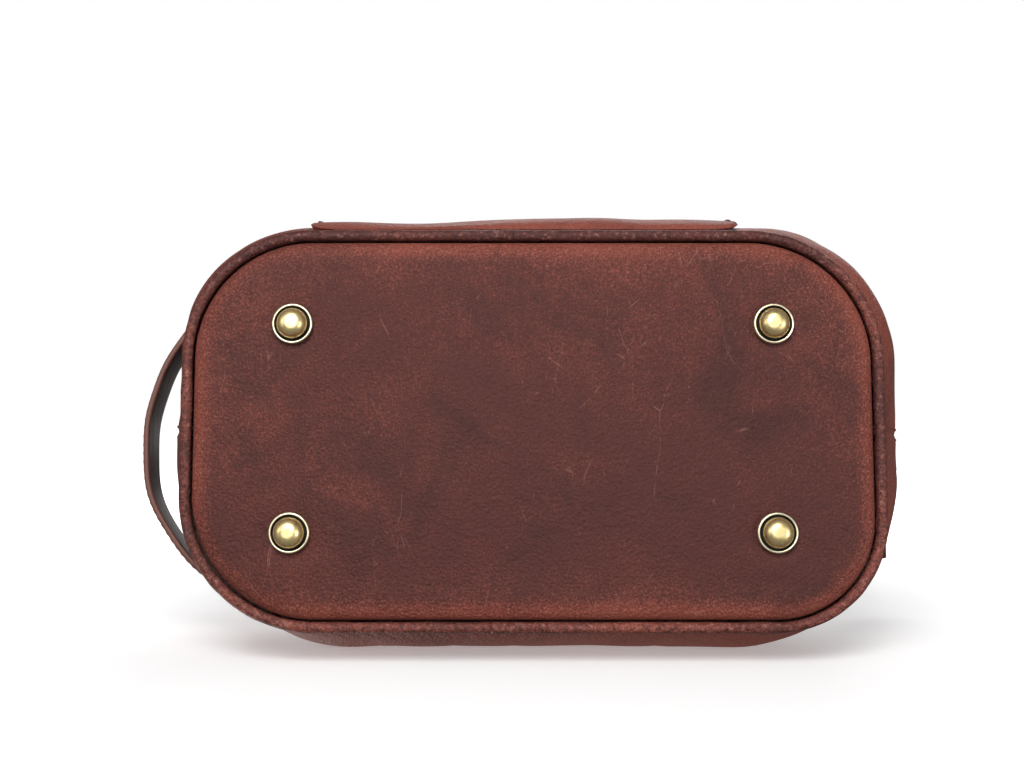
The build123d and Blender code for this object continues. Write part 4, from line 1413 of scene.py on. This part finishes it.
def build_stage():
    """Pale table behind the bag's back, pale floor under its feet, soft lights all round."""
    scene = bpy.context.scene
    scene.view_settings.view_transform = "Standard"
    tip = radians(VIEW_TIP)
    touch = (BASE_MIDDLE + np.array([0, 83.2, 50.0])) * MM
    along = np.array([0, -sin(tip), cos(tip)])
    across = np.array([1.0, 0, 0])
    far = 4.0
    corners = ((-far, -far), (far, -far), (far, far), (-far, far))
    stage_plane("table", [touch + across * x + along * y for x, y in corners], tuple(touch))
    stage_plane("floor", [(x, y, 0) for x, y in corners], (0, 0, 0))
    world = bpy.data.worlds.new("studio")
    scene.world = world
    world.use_nodes = True
    tree = world.node_tree
    tree.nodes.clear()
    ray = tree.nodes.new("ShaderNodeLightPath")
    mix = tree.nodes.new("ShaderNodeMixShader")
    output = tree.nodes.new("ShaderNodeOutputWorld")
    tree.links.new(ray.outputs["Is Camera Ray"], mix.inputs[0])
    tree.links.new(mix.outputs[0], output.inputs["Surface"])
    for socket, strength in ((1, 0.2), (2, 1.0)):       # what lights the bag, what the camera sees
        white = tree.nodes.new("ShaderNodeBackground")
        white.inputs["Color"].default_value = (1, 1, 1, 1)
        white.inputs["Strength"].default_value = strength
        tree.links.new(white.outputs[0], mix.inputs[socket])
    area_light("key", (-0.12, -0.5, -0.86), (0, 0, 0.02), 0.5, 8)
    area_light("front", (-0.16, -0.2, -1.05), (0, 0, 0.02), 0.75, 4.2)
    area_light("side", (0.8, 0.1, -0.7), (0, 0, 0.02), 0.4, 3.4)
    area_light("left", (-0.85, -0.2, -0.5), (0, 0, 0.04), 0.4, 1.3)
    area_light("top", (0.2, -0.5, 1.1), (0, 0, 0.08), 0.8, 11)
    area_light("rear", (-0.7, 0.8, 0.7), (0, 0, 0.08), 0.6, 8)


# --- operators ----------------------------------------------------------------------------
class KITBAG_OT_stage(bpy.types.Operator):
    """Camera, table, floor and lights"""

    bl_idname = "kitbag.stage"
    bl_label = "Stage"

    def execute(self, context):
        build_camera()
        build_stage()
        return {"FINISHED"}


class KITBAG_OT_base(bpy.types.Operator):
    """Padded base panel"""

    bl_idname = "kitbag.base"
    bl_label = "Base"

    def execute(self, context):
        build_base_panel()
        return {"FINISHED"}


class KITBAG_OT_piping(bpy.types.Operator):
    """Corded piping round the base"""

    bl_idname = "kitbag.piping"
    bl_label = "Piping"

    def execute(self, context):
        build_piping()
        return {"FINISHED"}


class KITBAG_OT_feet(bpy.types.Operator):
    """Brass feet"""

    bl_idname = "kitbag.feet"
    bl_label = "Feet"

    def execute(self, context):
        build_feet()
        return {"FINISHED"}


class KITBAG_OT_body(bpy.types.Operator):
    """Leather halves of the body"""

    bl_idname = "kitbag.body"
    bl_label = "Body"

    def execute(self, context):
        build_body()
        build_end_seams()
        return {"FINISHED"}


class KITBAG_OT_mouth(bpy.types.Operator):
    """Domed top beside the zip"""

    bl_idname = "kitbag.mouth"
    bl_label = "Mouth"

    def execute(self, context):
        build_mouth()
        return {"FINISHED"}


class KITBAG_OT_zip(bpy.types.Operator):
    """Tape, teeth and end folds of the top zip"""

    bl_idname = "kitbag.zip"
    bl_label = "Top zip"

    def execute(self, context):
        build_top_zip()
        build_end_tapes()
        return {"FINISHED"}


class KITBAG_OT_tabs(bpy.types.Operator):
    """Leather tabs at the zip's ends"""

    bl_idname = "kitbag.tabs"
    bl_label = "Zip tabs"

    def execute(self, context):
        build_tabs()
        return {"FINISHED"}


class KITBAG_OT_pulls(bpy.types.Operator):
    """Leather tabs on both pulls"""

    bl_idname = "kitbag.pulls"
    bl_label = "Pull tabs"

    def execute(self, context):
        build_pull_tabs()
        return {"FINISHED"}


class KITBAG_OT_pocket(bpy.types.Operator):
    """Outside pocket with its window"""

    bl_idname = "kitbag.pocket"
    bl_label = "Pocket"

    def execute(self, context):
        build_pocket()
        return {"FINISHED"}


class KITBAG_OT_handle(bpy.types.Operator):
    """Carrying strap with burnished edges"""

    bl_idname = "kitbag.handle"
    bl_label = "Handle"

    def execute(self, context):
        build_handle()
        return {"FINISHED"}


class KITBAG_OT_inside(bpy.types.Operator):
    """Cloth floor and slip pocket"""

    bl_idname = "kitbag.inside"
    bl_label = "Inside"

    def execute(self, context):
        build_inside()
        return {"FINISHED"}


class KITBAG_OT_frame_parts(bpy.types.Operator):
    """Finishes of the metal and the hidden stock"""

    bl_idname = "kitbag.frame_parts"
    bl_label = "Frame parts"

    def execute(self, context):
        finish_frame_parts()
        return {"FINISHED"}


OPERATORS = (
    KITBAG_OT_stage, KITBAG_OT_base, KITBAG_OT_piping, KITBAG_OT_feet, KITBAG_OT_body,
    KITBAG_OT_mouth, KITBAG_OT_zip, KITBAG_OT_tabs, KITBAG_OT_pulls, KITBAG_OT_pocket,
    KITBAG_OT_handle, KITBAG_OT_inside, KITBAG_OT_frame_parts,
)


class KITBAG_PT_panel(bpy.types.Panel):
    """Lists the bag's operators and settings in the sidebar."""

    bl_idname = "KITBAG_PT_panel"
    bl_label = "Kit Bag"
    bl_space_type = "VIEW_3D"
    bl_region_type = "UI"
    bl_category = "Kit Bag"

    def draw(self, context):
        """Sizes, colours and a button for each operator."""
        for group in (context.scene.kit_bag_sizes, context.scene.kit_bag_colours):
            for name in group.__annotations__:
                self.layout.prop(group, name)
        for made in OPERATORS:
            self.layout.operator(made.bl_idname)


CLASSES = (KitBagColours, KitBagSizes, *OPERATORS, KITBAG_PT_panel)


def register():
    """Adds the classes and the scene's settings."""
    for made in CLASSES:
        bpy.utils.register_class(made)
    bpy.types.Scene.kit_bag_colours = PointerProperty(type=KitBagColours)
    bpy.types.Scene.kit_bag_sizes = PointerProperty(type=KitBagSizes)


def unregister():
    """Takes them away again."""
    del bpy.types.Scene.kit_bag_sizes
    del bpy.types.Scene.kit_bag_colours
    for made in reversed(CLASSES):
        bpy.utils.unregister_class(made)


def main():
    """Runs every operator in order."""
    register()
    for made in OPERATORS:
        module, name = made.bl_idname.split(".")
        getattr(getattr(bpy.ops, module), name)()


if __name__ == "__main__":
    main()
